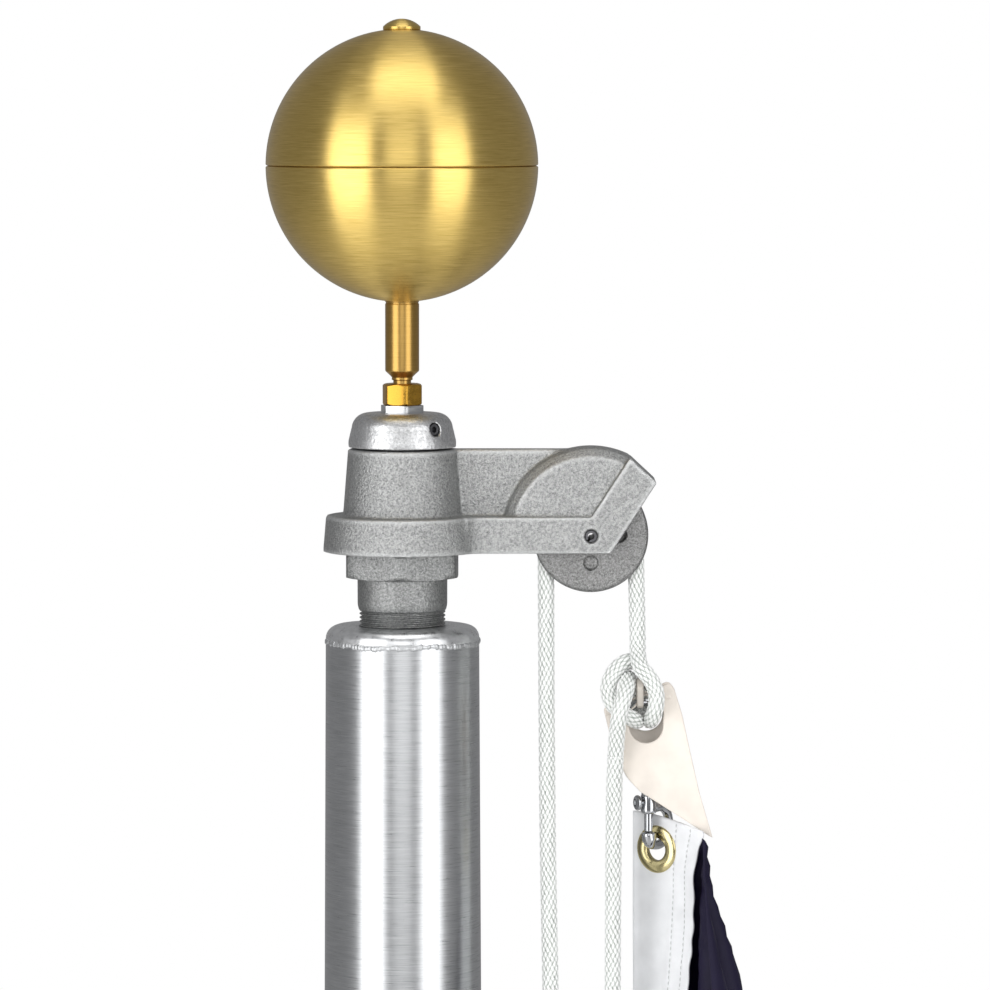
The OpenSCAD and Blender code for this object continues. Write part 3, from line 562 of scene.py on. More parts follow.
def halfBall(name, side, holeR):
    # outer skin from the seam to the hole, then back along the inner skin
    seam, wall = ball["seam"], ball["wall"]
    outer = np.linspace(math.asin((seam + 0.5 * mm) / ballR), math.acos(holeR / ballR), 110)
    inner = np.linspace(math.acos(holeR / (ballR - wall)), math.asin(0.1 * mm / ballR), 60)
    lip = [(ballR - wall, 0.05 * mm), (ballR - 0.9 * mm, 0.12 * mm), (ballR - 0.45 * mm, 0.3 * mm),
           (ballR - 0.12 * mm, 0.62 * mm)]
    line = lip + [(ballR * math.cos(t), ballR * math.sin(t)) for t in outer]
    line += [((ballR - wall) * math.cos(t), (ballR - wall) * math.sin(t)) for t in inner]
    line = [(r, side * z) for r, z in line]
    return turned(name, line, (0, 0, ballZ), steps=256, closed=True)


give(halfBall("ballUpperHalf", 1, ball["hole"]), goldSpun, "shaft", "gold_anodised", "ball_upper_half")
give(halfBall("ballLowerHalf", -1, ball["hole"]), goldSpun, "shaft", "gold_anodised", "ball_lower_half")
buttonLow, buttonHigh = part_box("ball_button")
buttonR = (buttonHigh[0] - buttonLow[0]) / 2
rim = buttonHigh[2] - ball["buttonRise"]
domeR = (buttonR ** 2 + ball["buttonRise"] ** 2) / (2 * ball["buttonRise"])
dome = [(domeR * math.sin(t), buttonHigh[2] - domeR * (1 - math.cos(t)))
        for t in np.linspace(math.asin((buttonR - 0.5 * mm) / domeR), 0, 26)]
seatZ = ballZ + math.sqrt(ballR ** 2 - buttonR ** 2)
give(turned("ballButton", [(5.1 * mm, ballZ + ballR - 0.1 * mm), (buttonR - 1 * mm, seatZ + 0.2 * mm),
                           (buttonR - 0.2 * mm, seatZ + 0.05 * mm), (buttonR, seatZ + 0.3 * mm),
                           (buttonR, rim - 0.2 * mm), (buttonR - 0.12 * mm, rim + 0.15 * mm)] + dome,
            (0, 0, 0), steps=128), goldSpun, "shaft", "gold_anodised", "ball_button")
print("ball done")


def softCopy(node, name, voxel, rounds, reach):
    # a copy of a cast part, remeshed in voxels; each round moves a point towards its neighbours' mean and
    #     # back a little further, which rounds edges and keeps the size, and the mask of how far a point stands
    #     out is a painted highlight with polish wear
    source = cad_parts[node]
    mesh = source.data.copy()
    obj = bpy.data.objects.new(name, mesh)
    bpy.context.scene.collection.objects.link(obj)
    heal(obj, 1e-5)
    change = obj.modifiers.new("voxels", "REMESH")
    change.mode = "VOXEL"
    change.voxel_size = voxel
    change.adaptivity = 0
    evaluated = obj.evaluated_get(bpy.context.evaluated_depsgraph_get())
    result = bpy.data.meshes.new_from_object(evaluated)
    obj.modifiers.clear()
    obj.data = result
    co = np.empty(len(result.vertices) * 3, dtype=np.float32)
    result.vertices.foreach_get("co", co)
    co = co.reshape(-1, 3).astype(float)
    edges = np.empty(len(result.edges) * 2, dtype=np.int32)
    result.edges.foreach_get("vertices", edges)
    a, b = edges.reshape(-1, 2).T
    count = np.bincount(a, minlength=len(co)) + np.bincount(b, minlength=len(co))

    def mean(values):
        # each point's average over its neighbours
        total = np.zeros_like(values)
        np.add.at(total, a, values[b])
        np.add.at(total, b, values[a])
        return total / (count[:, None] if values.ndim == 2 else count)

    for step in range(rounds):
        co += 0.60 * (mean(co) - co)
        co += -0.62 * (mean(co) - co)
    co += 0.5 * (mean(co) - co)
    result.vertices.foreach_set("co", co.astype(np.float32).ravel())
    result.update()
    normal = np.empty(len(co) * 3, dtype=np.float32)
    result.vertices.foreach_get("normal", normal)
    bend = ((co - mean(co)) * normal.reshape(-1, 3)).sum(axis=1)
    for step in range(reach):
        bend = mean(bend)
    # painted highlight and polish wear mask: points that stand out beyond a share of the voxel size get up to
    # full strength
    wearAndHighlight = np.clip(bend / (0.055 * voxel) - 0.25, 0, 1)
    layer = result.attributes.new("relief", "FLOAT", "POINT")
    layer.data.foreach_set("value", wearAndHighlight.astype(np.float32))
    result.polygons.foreach_set("use_smooth", np.ones(len(result.polygons), dtype=bool))
    return obj


castings = {"truckVoxel": 1.05 * mm, "truckRounds": 7, "capVoxel": 0.62 * mm, "capRounds": 5, "reach": 2}
give(softCopy("truck_casting", "truckCasting", castings["truckVoxel"], castings["truckRounds"],
              castings["reach"]),
     castTruck, "truck", "cast_aluminium", "truck_casting")
give(softCopy("bearing_cap", "bearingCap", castings["capVoxel"], castings["capRounds"], castings["reach"]),
     castCap, "shaft", "cast_aluminium", "bearing_cap")
print("castings done")

sheaveLow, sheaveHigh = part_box("sheave")
axle = np.array([(a + b) / 2 for a, b in zip(sheaveLow, sheaveHigh)])
sheaveR, halfW = (sheaveHigh[0] - sheaveLow[0]) / 2, (sheaveHigh[1] - sheaveLow[1]) / 2
rope = {"radius": 4.75 * mm, "onSheave": 25.2 * mm, "strands": 10, "cell": 5.4 * mm}
grooveR = rope["radius"] + 0.3 * mm
dimple = {"at": 15.8 * mm, "radius": 4.3 * mm, "deep": 2.2 * mm, "turn": math.radians(90)}
pinR = 3.3 * mm


def sheaveShape(angle, radius, height):
    # four dimples in each face: a point sinks by deep times the root of 1 - (distance / radius)^2
    far = np.full(radius.shape, 1.0)
    for turn in range(4):
        toward = math.pi / 2 * turn + dimple["turn"]
        away = np.sqrt(radius ** 2 + dimple["at"] ** 2 - 2 * radius * dimple["at"] * np.cos(angle - toward))
        far = np.minimum(far, away / dimple["radius"])
    face = np.abs(height) > halfW - 1.0 * mm
    bowl = dimple["deep"] * np.clip(1 - far ** 2, 0, 1) ** 0.5
    return radius, height - np.sign(height) * face * bowl


groove = [(rope["onSheave"] + grooveR * -math.cos(t), grooveR * math.sin(t))
          for t in np.linspace(-math.pi / 2, math.pi / 2, 19)]
face = np.arange(4.4, 29.0, 0.62) * mm
line = [(pinR, -halfW + 0.4 * mm)] + [(r, -halfW) for r in face]
line += roundedLine([(face[-1], -halfW), (sheaveR - 1.6 * mm, -halfW), (sheaveR, -halfW + 1.4 * mm),
                     (sheaveR, -grooveR - 0.3 * mm), (sheaveR - 1.0 * mm, -grooveR),
                     (rope["onSheave"], -grooveR)], 0.9 * mm, steps=5).tolist()[1:-1]
line += groove
line += roundedLine([(rope["onSheave"], grooveR), (sheaveR - 1.0 * mm, grooveR), (sheaveR, grooveR + 0.3 * mm),
                     (sheaveR, halfW - 1.4 * mm), (sheaveR - 1.6 * mm, halfW), (face[-1], halfW)],
                    0.9 * mm, steps=5).tolist()[1:-1]
line += [(r, halfW) for r in face[::-1]] + [(pinR, halfW - 0.4 * mm)]
give(turned("sheave", line, axle, axis="Y", steps=288, closed=True, shape=sheaveShape), castSheave, "sheave",
     "grey_casting", "sheave")
print("sheave done")

# the route's points are the CAD's, in millimetres; heights of the hitch are over the grommet's middle
hitchRoute = [(132.2, 0, 119.6), (132.2, -2, 111.8), (133.8, -9, 104.5), (138.3, -12, 99.5),
              (142.2, -12.3, 91.6),
              (142.2, -12, 82.7), (140, -5, 75.4), (138.9, 5, 73.7), (139.4, 12, 79.3), (138.9, 12.5, 88.8),
              (136.6, 9, 98.3), (132.2, 4.5, 105.6), (125.4, 0, 106.7), (118.7, -3, 101.1), (115.6, -6, 92.2),
              (118.2, -10, 83.8), (124.9, -12, 78.2), (131, -5, 74.3), (132.2, 5, 73.7), (132.2, 12, 79.3),
              (129.9, 12, 88.3), (127.7, 7, 95.5), (126.6, -1, 97.5), (126, -9, 93.9), (123.8, -17, 87.1),
              (121.5, -19, 78.7), (120.4, -16, 69.2), (119.6, -13, 55.2)]
grommetZ = topZ - 127.5 * mm
hoist = 610 * mm
flagTop = grommetZ + 20.5 * mm
lowGrommetZ = grommetZ - hoist + 41 * mm
midZ = (grommetZ + lowGrommetZ) / 2
knot = np.array([107 * mm, 0, lowGrommetZ - 230 * mm])


def upsideDown(points):
    # mirrored about the hoist's middle: z becomes twice the middle less z
    return np.asarray(points, dtype=float) * [1, 1, -1] + [0, 0, 2 * midZ]


hitch = np.array(hitchRoute) * mm + [0, 0, grommetZ]
fallX = rope["onSheave"]
arc = np.array([(axle[0] - fallX * math.cos(t), 0, axle[2] + fallX * math.sin(t))
                for t in np.linspace(0, np.pi, 40)])
rightStart = arc[-1]
halfway = rightStart * [1, 1, 0] + [0.6 * mm, 0, (rightStart[2] + hitch[0][2]) / 2]
rightFall = splinePath(np.vstack([[rightStart], [halfway], hitch]), 10)
rightRoute = np.vstack([arc, evenPath(rightFall, 0.9 * mm)[0][1:]])
hoistHalf = np.array([hitch[-1], (118.8 * mm, -10.5 * mm, grommetZ + 25 * mm),
                      (118.4 * mm, -7 * mm, grommetZ - 60 * mm), (117.8 * mm, -4 * mm, midZ)])
hoistRoute = splinePath(np.vstack([hoistHalf, upsideDown(hoistHalf)[-2::-1]]), 12)
leftStart = arc[0]
leftRoute = splinePath(np.vstack([
    [leftStart, leftStart * [1, 1, 0] + [1 * mm, 0, topZ - 0.100],
     leftStart * [1, 1, 0] + [3.1 * mm, 0, topZ - 0.220]],
    [(0.0865, 0, topZ - 0.400), (0.090, 0, topZ - 0.600), (0.096, 0, topZ - 0.760),
     knot + [-3.5 * mm, 0, 26 * mm], knot + [0, 0, 10 * mm], knot + [0, 0, -8 * mm],
     knot + [-3.4 * mm, 1 * mm, -26 * mm], knot + [-6 * mm, 0, -57 * mm]]]), 14)
turnAngle = np.linspace(0, 3 * 2 * np.pi, 25)
wraps = np.stack([knot[0] + 9.7 * mm * np.cos(turnAngle), 9.7 * mm * np.sin(turnAngle),
                  knot[2] + 13.5 * mm - turnAngle / turnAngle[-1] * 27 * mm], axis=1)
lowHitch = upsideDown(hitch)[::-1]
lowRoute = splinePath(np.vstack([
    lowHitch, [(131 * mm, 0, lowHitch[-1][2] - 14 * mm), (122 * mm, 0, lowHitch[-1][2] - 50 * mm),
               knot + [13 * mm, -1 * mm, 34 * mm], knot + [10.4 * mm, -3.5 * mm, 19 * mm]],
    wraps, [knot + [9.0 * mm, 3.4 * mm, -18.5 * mm], knot + [7.6 * mm, 3 * mm, -31 * mm],
            knot + [6 * mm, 1 * mm, -51 * mm]]]), 10)


def braidedRope(name, route, bare, sides=72, gap=0.92 * mm):
    # two families of strands wind opposite ways and cross in diamonds; each diamond shows the strand on top
    path, run = evenPath(route, gap)
    for k in range(3):
        path[1:-1] += 0.35 * (path[2:] + path[:-2] - 2 * path[1:-1])
    tangent, side, other = carriedSides(path)
    u = np.linspace(0, 2 * np.pi, sides, endpoint=False)[None, :]
    p = rope["strands"] * u / (2 * np.pi) + run[:, None] / rope["cell"]
    q = rope["strands"] * u / (2 * np.pi) - run[:, None] / rope["cell"]
    acrossP, acrossQ = 2 * np.mod(p, 1) - 1, 2 * np.mod(q, 1) - 1
    odd = np.mod(np.floor(p) + np.floor(q), 2) > 0.5
    overP = (1 - acrossP ** 2) * (1 - 0.55 * acrossQ ** 4)
    overQ = (1 - acrossQ ** 2) * (1 - 0.55 * acrossP ** 4)
    height = np.where(odd, overP, overQ)
    height = np.clip(height, 0, 1) ** 0.7
    radius = rope["radius"] - 1.1 * mm * (1 - height)
    for end in bare:
        radius[end] *= 0.6
    around = np.cos(u)[..., None] * side[:, None, :] + np.sin(u)[..., None] * other[:, None, :]
    points = path[:, None, :] + radius[..., None] * around
    obj = gridObject(name, points, wrapV=True, relief=height)
    heal(obj)
    return obj, path


def halyardPiece(name, route, exit, farEnd, *nodes):
    # one rope, whose length is the sum of the distances between its path's points
    obj, path = braidedRope(name, route, [-1] if farEnd == "bare" else [])
    give(obj, ropeWhite, "truck", "white_rope", *nodes)
    return obj


halyardPiece("halyardLeftFall", leftRoute, leftStart, "bare", "halyard_left_fall", "halyard_joining_knot")
halyardPiece("halyardRightFall", rightRoute, arc[0], "object", "halyard_on_sheave", "halyard_right_fall",
             "halyard_upper_hitch")
halyardPiece("halyardAlongHoist", hoistRoute, hoistRoute[0], "object", "halyard_along_hoist")
halyardPiece("halyardLowerHitch", lowRoute, lowRoute[0], "bare", "halyard_lower_hitch", "halyard_tail")
print("halyard done")

coverFront = [(114.2, 77), (118.8, 60), (122.6, 49), (126, 42.4), (133.7, 34.3), (174.6, 7.6, 0.9),
              (167, 33.5), (162.2, 54.6), (157.3, 77.3), (152.8, 92), (149.6, 95.3), (146, 94), (141.5, 89.5),
              (131.6, 89.5), (131.6, 84), (126, 79.4), (118, 78.4)]
coverBack = [(113, 80), (117.4, 62), (122, 50), (125.6, 42.6), (174.6, 7.6, 0.9), (167, 33.5), (162.2, 54.6),
             (157.3, 77.3), (152.8, 92), (149.6, 95.3), (146, 94), (141.5, 89.5), (131.6, 89.5), (131.6, 86),
             (120, 84)]
coverHole = (136.8, 75.4)


def moveMesh(obj, change):
    # each point replaced by change(point)
    co = np.empty(len(obj.data.vertices) * 3, dtype=np.float32)
    obj.data.vertices.foreach_get("co", co)
    obj.data.vertices.foreach_set("co", change(co.reshape(-1, 3).astype(float)).astype(np.float32).ravel())
    obj.data.update()
    return obj


def merged(name, parts):
    # several meshes as one, faces turned outwards
    bm = bmesh.new()
    for part in parts:
        bm.from_mesh(part.data)
        old = part.data
        bpy.data.objects.remove(part)
        bpy.data.meshes.remove(old)
    mesh = bpy.data.meshes.new(name)
    bmesh.ops.recalc_face_normals(bm, faces=bm.faces)
    bm.to_mesh(mesh)
    bm.free()
    mesh.polygons.foreach_set("use_smooth", np.ones(len(mesh.polygons), dtype=bool))
    obj = bpy.data.objects.new(name, mesh)
    bpy.context.scene.collection.objects.link(obj)
    return obj


def rayLength(outline, centre, angle):
    # distance from the centre to the outline, in each direction
    a = np.asarray(outline) - centre
    b = np.roll(a, -1, axis=0)
    d = np.stack([np.cos(angle), np.sin(angle)], axis=1)
    e = b - a
    det = d[:, None, 0] * -e[None, :, 1] + d[:, None, 1] * e[None, :, 0]
    det = np.where(np.abs(det) < 1e-12, 1e-12, det)
    t = (a[None, :, 0] * -e[None, :, 1] + a[None, :, 1] * e[None, :, 0]) / det
    k = (d[:, None, 0] * a[None, :, 1] - d[:, None, 1] * a[None, :, 0]) / det
    good = (k >= -1e-9) & (k <= 1 + 1e-9) & (t > 0)
    return np.where(good, t, np.inf).min(axis=1)


def flap(name, outline, y, bulge, lowEdge, thick=2.0):
    # rings from the hole to the outline, with rounded rims; the strip is bowed outwards between its edges
    smooth = roundedLine(outline, 2.4, closed=True, steps=6)
    angle = np.linspace(0, 2 * np.pi, 420, endpoint=False)
    far = rayLength(smooth, coverHole, angle)
    slot = np.array([(9.6 * math.cos(t), 9.6 * math.sin(t) + (4.0 if math.sin(t) > 0 else lowEdge))
                     for t in np.linspace(0, 2 * np.pi, 200, endpoint=False)]) + coverHole
    near = np.minimum(rayLength(slot, coverHole, angle), far - 1.2)
    share = np.linspace(0, 1, 26) ** 1.2
    half = thick / 2
    turn = np.linspace(-np.pi / 2, np.pi / 2, 7)[1:-1]
    reach, depth = [], []
    inset = half * 0.9
    for s in share:
        reach.append((near + inset) + (far - near - 2 * inset).clip(0.05) * s)
        depth.append(-half)
    for t in turn:
        reach.append(far - inset + inset * math.cos(t))
        depth.append(half * math.sin(t))
    for s in share[::-1]:
        reach.append((near + inset) + (far - near - 2 * inset).clip(0.05) * s)
        depth.append(half)
    for t in turn[::-1]:
        reach.append(near + inset - inset * math.cos(t))
        depth.append(half * math.sin(t))
    reach, depth = np.array(reach).T, np.array(depth)[None, :]
    x = coverHole[0] + reach * np.cos(angle)[:, None]
    z = coverHole[1] + reach * np.sin(angle)[:, None]
    low = np.clip((62 - z) / 40, 0, 1)
    bow = bulge * np.clip((z - 14) / 30, 0, 1) * np.clip((86 - z) / 40, 0, 1)
    bow = bow + 0.35 * np.sin(x / 9 + z / 13) * low
    # room for the bolt's knob, which slides up behind the low edge
    bow = bow + math.copysign(2.7, bulge) * np.exp(-((x - 132) / 8) ** 2 - ((z - 37) / 8.5) ** 2)
    points = np.stack([x, y + depth + bow, z], axis=-1) * mm + [0, 0, grommetZ]
    return heal(gridObject(name, points, wrapU=True, wrapV=True))


def strap(name, x0, x1, foot, top, bow):
    # a narrow band that goes up from one flap, over, and down to the other; bow is how far forward it stands
    side = 6.2
    line = [(-side, foot), (-(side + bow) / 2 - 0.6, foot + 2), (-bow, foot + 4.5), (-bow, top - 5)]
    line += [(-(side if t > np.pi / 2 else bow) * math.cos(t), top - 5 + 5 * math.sin(t))
             for t in np.linspace(0.15, np.pi - 0.15, 17)]
    line += [(side, top - 5), (side, foot)]
    path = np.array([((x0 + x1) / 2, a, b) for a, b in line])
    tangent = np.gradient(path, axis=0)
    tangent /= np.linalg.norm(tangent, axis=1)[:, None]
    out = np.cross(tangent, [1, 0, 0])
    wide, thin = (x1 - x0) / 2, 0.9
    ring = [(math.copysign(abs(math.cos(t)) ** 0.45, math.cos(t)) * wide,
             math.copysign(abs(math.sin(t)) ** 0.6, math.sin(t)) * thin)
            for t in np.linspace(0, 2 * np.pi, 24, endpoint=False)]
    points = np.array([[p + [a, 0, 0] + o * b for a, b in ring] for p, o in zip(path, out)])
    points = points * mm + [0, 0, grommetZ]
    return heal(gridObject(name, points, wrapV=True))


def snapCover(name):
    # front and back flap with two straps across, x and z in mm from the pole and the grommet
    return merged(name, [flap("front", coverFront, -6.2, -1.3, -4.0), flap("back", coverBack, 6.2, 1.0, 1.4),
                         strap("strapA", 131.7, 135.4, 82, 97.0, 8.8),
                         strap("strapB", 146.6, 151.0, 86, 93.0, 6.2)])


give(snapCover("upperSnapCover"), coverBeige, "truck", "cover_neoprene", "upper_snap_cover")
give(heal(moveMesh(snapCover("lowerSnapCover"), upsideDown)), coverBeige, "truck", "cover_neoprene",
     "lower_snap_cover")
print("covers done")

headingTurn = math.radians(38)
alongHeading = np.array([math.cos(headingTurn), -math.sin(headingTurn), 0])
acrossHeading = np.array([math.sin(headingTurn), math.cos(headingTurn), 0])
grommetAt = np.array([143.7 * mm, 6.1 * mm, grommetZ])
boltAt = np.array([138.6 * mm, 0, grommetZ])


def snapHook(name):
    # eye, shank, barrel with its turned grooves, and the hook in the plane square to the heading
    u = np.linspace(0, 2 * np.pi, 72, endpoint=False)[:, None]
    v = np.linspace(0, 2 * np.pi, 18, endpoint=False)[None, :]
    ring = 13 * mm + 2.2 * mm * np.cos(v)
    eye = gridObject("eye", np.stack([boltAt[0] - 2 * mm + ring * np.cos(u), 2.2 * mm * np.sin(v) + 0 * u,
                                      grommetZ + 70.9 * mm + ring * np.sin(u)], axis=-1), True, True)
    barrel = turned("barrel", roundedLine([
        (0, 20.9), (3.3, 20.9), (4.3, 21.6), (4.6, 23), (4.6, 31), (4.1, 31.6), (4.1, 33), (4.8, 33.6),
        (4.8, 47),
        (4.2, 50), (3.0, 52), (2.8, 56), (3.6, 58.5), (0, 59.5)], 0.6, steps=4) * mm, boltAt, steps=72)
    hookLine = [(3, 24.4), (12, 23.6), (17.4, 19.5), (19, 12.5), (16.6, 6), (11.5, 2.8), (6, 2.5),
                (1.6, 4.4), (0, 9.6)]
    bar = splinePath([boltAt + acrossHeading * a * mm + [0, 0, b * mm] for a, b in hookLine], 8)
    place = np.linspace(0, 1, len(bar))
    root, tip = np.clip((0.12 - place) / 0.12, 0, 1), np.clip((place - 0.76) / 0.16, 0, 1)
    radii = (2.6 + 0.9 * root + 1.5 * tip ** 1.5) * mm
    end, up = bar[-1], np.array([0, 0, 1.0])
    bar = np.vstack([bar, [end + up * 0.3 * mm, end + up * 0.5 * mm, end + up * 0.45 * mm,
                           end - up * 1.2 * mm, end - up * 1.6 * mm]])
    radii = np.concatenate([radii, np.array([3.9, 3.5, 3.05, 2.7, 0.2]) * mm])
    side = np.tile(alongHeading, (len(bar), 1))
    tangent = np.gradient(bar, axis=0)
    tangent[-6:] = up
    tangent /= np.linalg.norm(tangent, axis=1)[:, None]
    other = np.cross(tangent, side)
    w = np.linspace(0, 2 * np.pi, 24, endpoint=False)[None, :, None]
    around = np.cos(w) * side[:, None, :] + np.sin(w) * other[:, None, :]
    points = bar[:, None, :] + radii[:, None, None] * around
    hook = heal(gridObject("hook", points, wrapV=True))
    return merged(name, [eye, barrel, hook])


def snapBolt(name):
    # round bolt, and the thumb knob on its short stem
    pinLine = [(0, 10.4), (2.0, 10.4), (2.5, 11.2), (2.5, 31), (0, 31.5)]
    pin = turned("pin", roundedLine(pinLine, 0.3, steps=3) * mm,
                 boltAt, steps=40)
    point = boltAt + np.array([0, 0, 27.4 * mm])
    away = np.array([-0.90, -0.43, 0.0])
    away /= np.linalg.norm(away)
    line = roundedLine([(0, 2.0), (1.3, 2.0), (1.3, 5.2), (2.4, 5.9), (4.2, 6.2), (4.4, 7.3), (3.9, 8.0),
                        (3.0, 7.9),
                        (1.6, 7.3), (0, 7.1)], 0.45, steps=4) * mm
    knob = turned("knob", line, (0, 0, 0), axis="X", steps=48)
    side = np.array([-away[1], away[0], 0])
    moveMesh(knob, lambda p: point + p[:, 0:1] * away + p[:, 1:2] * side + p[:, 2:3] * np.array([0, 0, 1.0]))
    return merged(name, [pin, knob])


def rolledGrommet(name):
    # two rolled flanges with a tube between them, as one closed section turned about the hole
    half = 1.9
    section = roundedLine([(6.35, -1.3), (7.0, -half), (9.6, -half - 0.5), (12.2, -half), (13.5, -1.1),
                           (13.5, -0.5),
                           (12.6, -0.45), (12.6, 0.45), (13.5, 0.5), (13.5, 1.1), (12.2, half),
                           (9.6, half + 0.5),
                           (7.0, half), (6.35, 1.3)], 1.2, closed=True, steps=5) * mm
    obj = turned(name, section, (0, 0, 0), axis="Y", steps=120, closed=True)
    return moveMesh(obj, lambda p: (grommetAt + p[:, 0:1] * alongHeading + p[:, 1:2] * acrossHeading
                                    + p[:, 2:3] * np.array([0, 0, 1.0])))


give(snapHook("upperSnapHook"), chrome, "truck", "chrome", "upper_snap_hook")
give(heal(moveMesh(snapHook("lowerSnapHook"), upsideDown), 1e-7), chrome, "truck", "chrome", "lower_snap_hook")
give(snapBolt("upperSnapBolt"), chrome, "upper_bolt", "chrome", "upper_snap_bolt")
give(heal(moveMesh(snapBolt("lowerSnapBolt"), upsideDown), 1e-7), chrome, "lower_bolt", "chrome",
     "lower_snap_bolt")
give(rolledGrommet("upperGrommet"), grommetBrass, "truck", "brass", "upper_grommet")
give(heal(moveMesh(rolledGrommet("lowerGrommet"), upsideDown), 1e-7), grommetBrass, "truck", "brass",
     "lower_grommet")
print("snaps done")

heading = {"start": -17.0, "end": 25.3, "thick": 1.7}


def smoothStep(x):
    # 3 x^2 - 2 x^3, between 0 and 1
    x = np.clip(x, 0, 1)
    return x * x * (3 - 2 * x)


def headingPoint(s, drop, lift=0.0):
    # s runs along the heading from its grommets and drop down from its top, in millimetres; the strip
    # twists forwards below the snap, sags at its free corners and buckles softly along its seam
    total = hoist / mm
    across = (s - heading["start"]) / (heading["end"] - heading["start"])
    fromEnd = np.minimum(drop, total - drop)
    twist = math.radians(10) * smoothStep((fromEnd - 40) / 110)
    corner = np.exp(-(fromEnd / 17) ** 2)
    pulled = s + 6.5 * across ** 3 * corner + 0.45 * np.sin(drop / 2.9 + np.sin(drop / 11)) * across ** 8
    sag = 8.0 * across ** 1.9 * np.exp(-fromEnd / 42)
    height = flagTop / mm - drop - np.where(drop < total / 2, sag, -sag)
    away = fromEnd - 34
    buckle = -1.5 * np.exp(-((s - 12) / 5.0) ** 2) * smoothStep(away / 30)
    buckle = buckle + 1.6 * across ** 2 * smoothStep(away / 40) * np.sin(drop / 31 + 0.6)
    buckle = buckle + 0.5 * np.sin(drop / 47 + s / 13) * smoothStep(away / 30)
    reach = pulled - heading["start"]
    turn = headingTurn + twist
    outX, outY = np.cos(turn), -np.sin(turn)
    base = grommetAt / mm + alongHeading * heading["start"]
    offset = buckle + lift
    x = base[0] + reach * outX - offset * outY
    y = base[1] + reach * outY + offset * outX
    return np.stack([x, y, height + 0 * s], axis=-1) * mm


def slab(name, front, back, keep, uv=None):
    # two matching grids, joined along every open edge of the cells that are kept
    nu, nv = front.shape[:2]
    index = np.arange(nu * nv).reshape(nu, nv)
    a, b, c, d = index[:-1, :-1][keep], index[:-1, 1:][keep], index[1:, 1:][keep], index[1:, :-1][keep]
    faces = [np.stack([a, b, c, d], axis=1), np.stack([d, c, b, a], axis=1) + nu * nv]
    edges = np.concatenate([np.stack(pair, axis=1) for pair in ((a, b), (b, c), (c, d), (d, a))])
    key = np.sort(edges, axis=1)
    code = key[:, 0].astype(np.int64) * nu * nv + key[:, 1]
    first, count = np.unique(code, return_index=True, return_counts=True)[1:]
    rim = edges[first[count == 1]]
    faces.append(np.stack([rim[:, 1], rim[:, 0], rim[:, 0] + nu * nv, rim[:, 1] + nu * nv], axis=1))
    faces = np.concatenate(faces)
    verts = np.concatenate([front.reshape(-1, 3), back.reshape(-1, 3)])
    used = np.unique(faces)
    lookup = np.zeros(len(verts), dtype=np.int64)
    lookup[used] = np.arange(len(used))
    loopUv = None if uv is None else np.concatenate([uv.reshape(-1, 2)] * 2)[faces.ravel()]
    return makeMesh(name, verts[used], lookup[faces], uv=loopUv)


s = np.linspace(heading["start"], heading["end"], 58)[None, :]
drop = np.linspace(0, hoist / mm, 400)[:, None]
edge = np.minimum(s - heading["start"], 1.6) / 1.6
half = heading["thick"] / 2 * (0.35 + 0.65 * np.sqrt(np.clip(edge, 0, 1)))
half = half * (1 - 0.38 * np.exp(-((s - 11.7) / 0.9) ** 2) - 0.38 * np.exp(-((s - 19.4) / 0.9) ** 2))
half = half * np.where(s > 24.2, 0.72, 1) + 0 * drop
front = headingPoint(s + 0 * drop, drop + 0 * s, -half)
back = headingPoint(s + 0 * drop, drop + 0 * s, half)
core = headingPoint(s + 0 * drop, drop + 0 * s)
keep = np.ones((core.shape[0] - 1, core.shape[1] - 1), dtype=bool)
for centre in (grommetAt, upsideDown(grommetAt)):
    away = core - centre
    flatAway = np.stack([away @ alongHeading, away[..., 2]], axis=-1)
    far = np.linalg.norm(flatAway, axis=-1)
    cell = (far[:-1, :-1] + far[1:, :-1] + far[:-1, 1:] + far[1:, 1:]) / 4
    keep &= cell > 9.0 * mm
uv = np.stack(np.broadcast_arrays(s * mm, -drop * mm), axis=-1)
give(slab("flagHeading", front, back, keep, uv), canvasWhite, "truck", "white_canvas", "flag_heading")

# stitches: short rounded bars lying in the two seams
stitch = {"gap": 3.3, "length": 2.3, "radius": 0.30}
bars = []
u = np.linspace(0, 2 * np.pi, 6, endpoint=False)[None, :]
for column in (11.7, 19.4):
    for lift in (-heading["thick"] / 2 * 0.62, heading["thick"] / 2 * 0.62):
        for place in np.arange(2.5, hoist / mm - 2.5, stitch["gap"]):
            t = np.linspace(-0.5, 0.5, 5)[:, None]
            bend = stitch["radius"] * (1 - (2 * t) ** 2) * np.sign(lift)
            ring = stitch["radius"] * np.sqrt(np.clip(1.05 - (2 * t) ** 2, 0.05, 1))
            bars.append(headingPoint(column + ring * np.cos(u), place + t * stitch["length"] + 0 * u,
                                     lift + bend + ring * np.sin(u) * 0.8))
bars = np.array(bars)
n, rows, sides = bars.shape[:3]
i, j = np.arange(rows - 1)[:, None], np.arange(sides)[None, :]
one = np.stack([i * sides + j, i * sides + (j + 1) % sides, (i + 1) * sides + (j + 1) % sides,
                (i + 1) * sides + j], axis=-1).reshape(-1, 4)
faces = (one[None] + (np.arange(n) * rows * sides)[:, None, None]).reshape(-1, 4)
give(heal(makeMesh("headingStitches", bars.reshape(-1, 3), faces)), threadWhite, "truck", "white_canvas")
print("heading done")

# the cloth starts loosely pleated beyond the heading and falls; only its stitched edge is held
cloth = {"fly": 0.872, "across": 98, "down": 68, "frames": 120,
         "pleat": 0.11, "swing": 1.25,
         "hem": 14 * mm, "half": 0.22 * mm, "hemHalf": 0.55 * mm, "calm": 0.06,
         "levels": [-0.28, -0.13, -0.0708, -0.0484, -0.0372, -0.0148, 0.0115, 0.0205],
         "profile": [0.247, 0.211, 0.1915, 0.1850, 0.1808, 0.1755, 0.1695, 0.1660]}


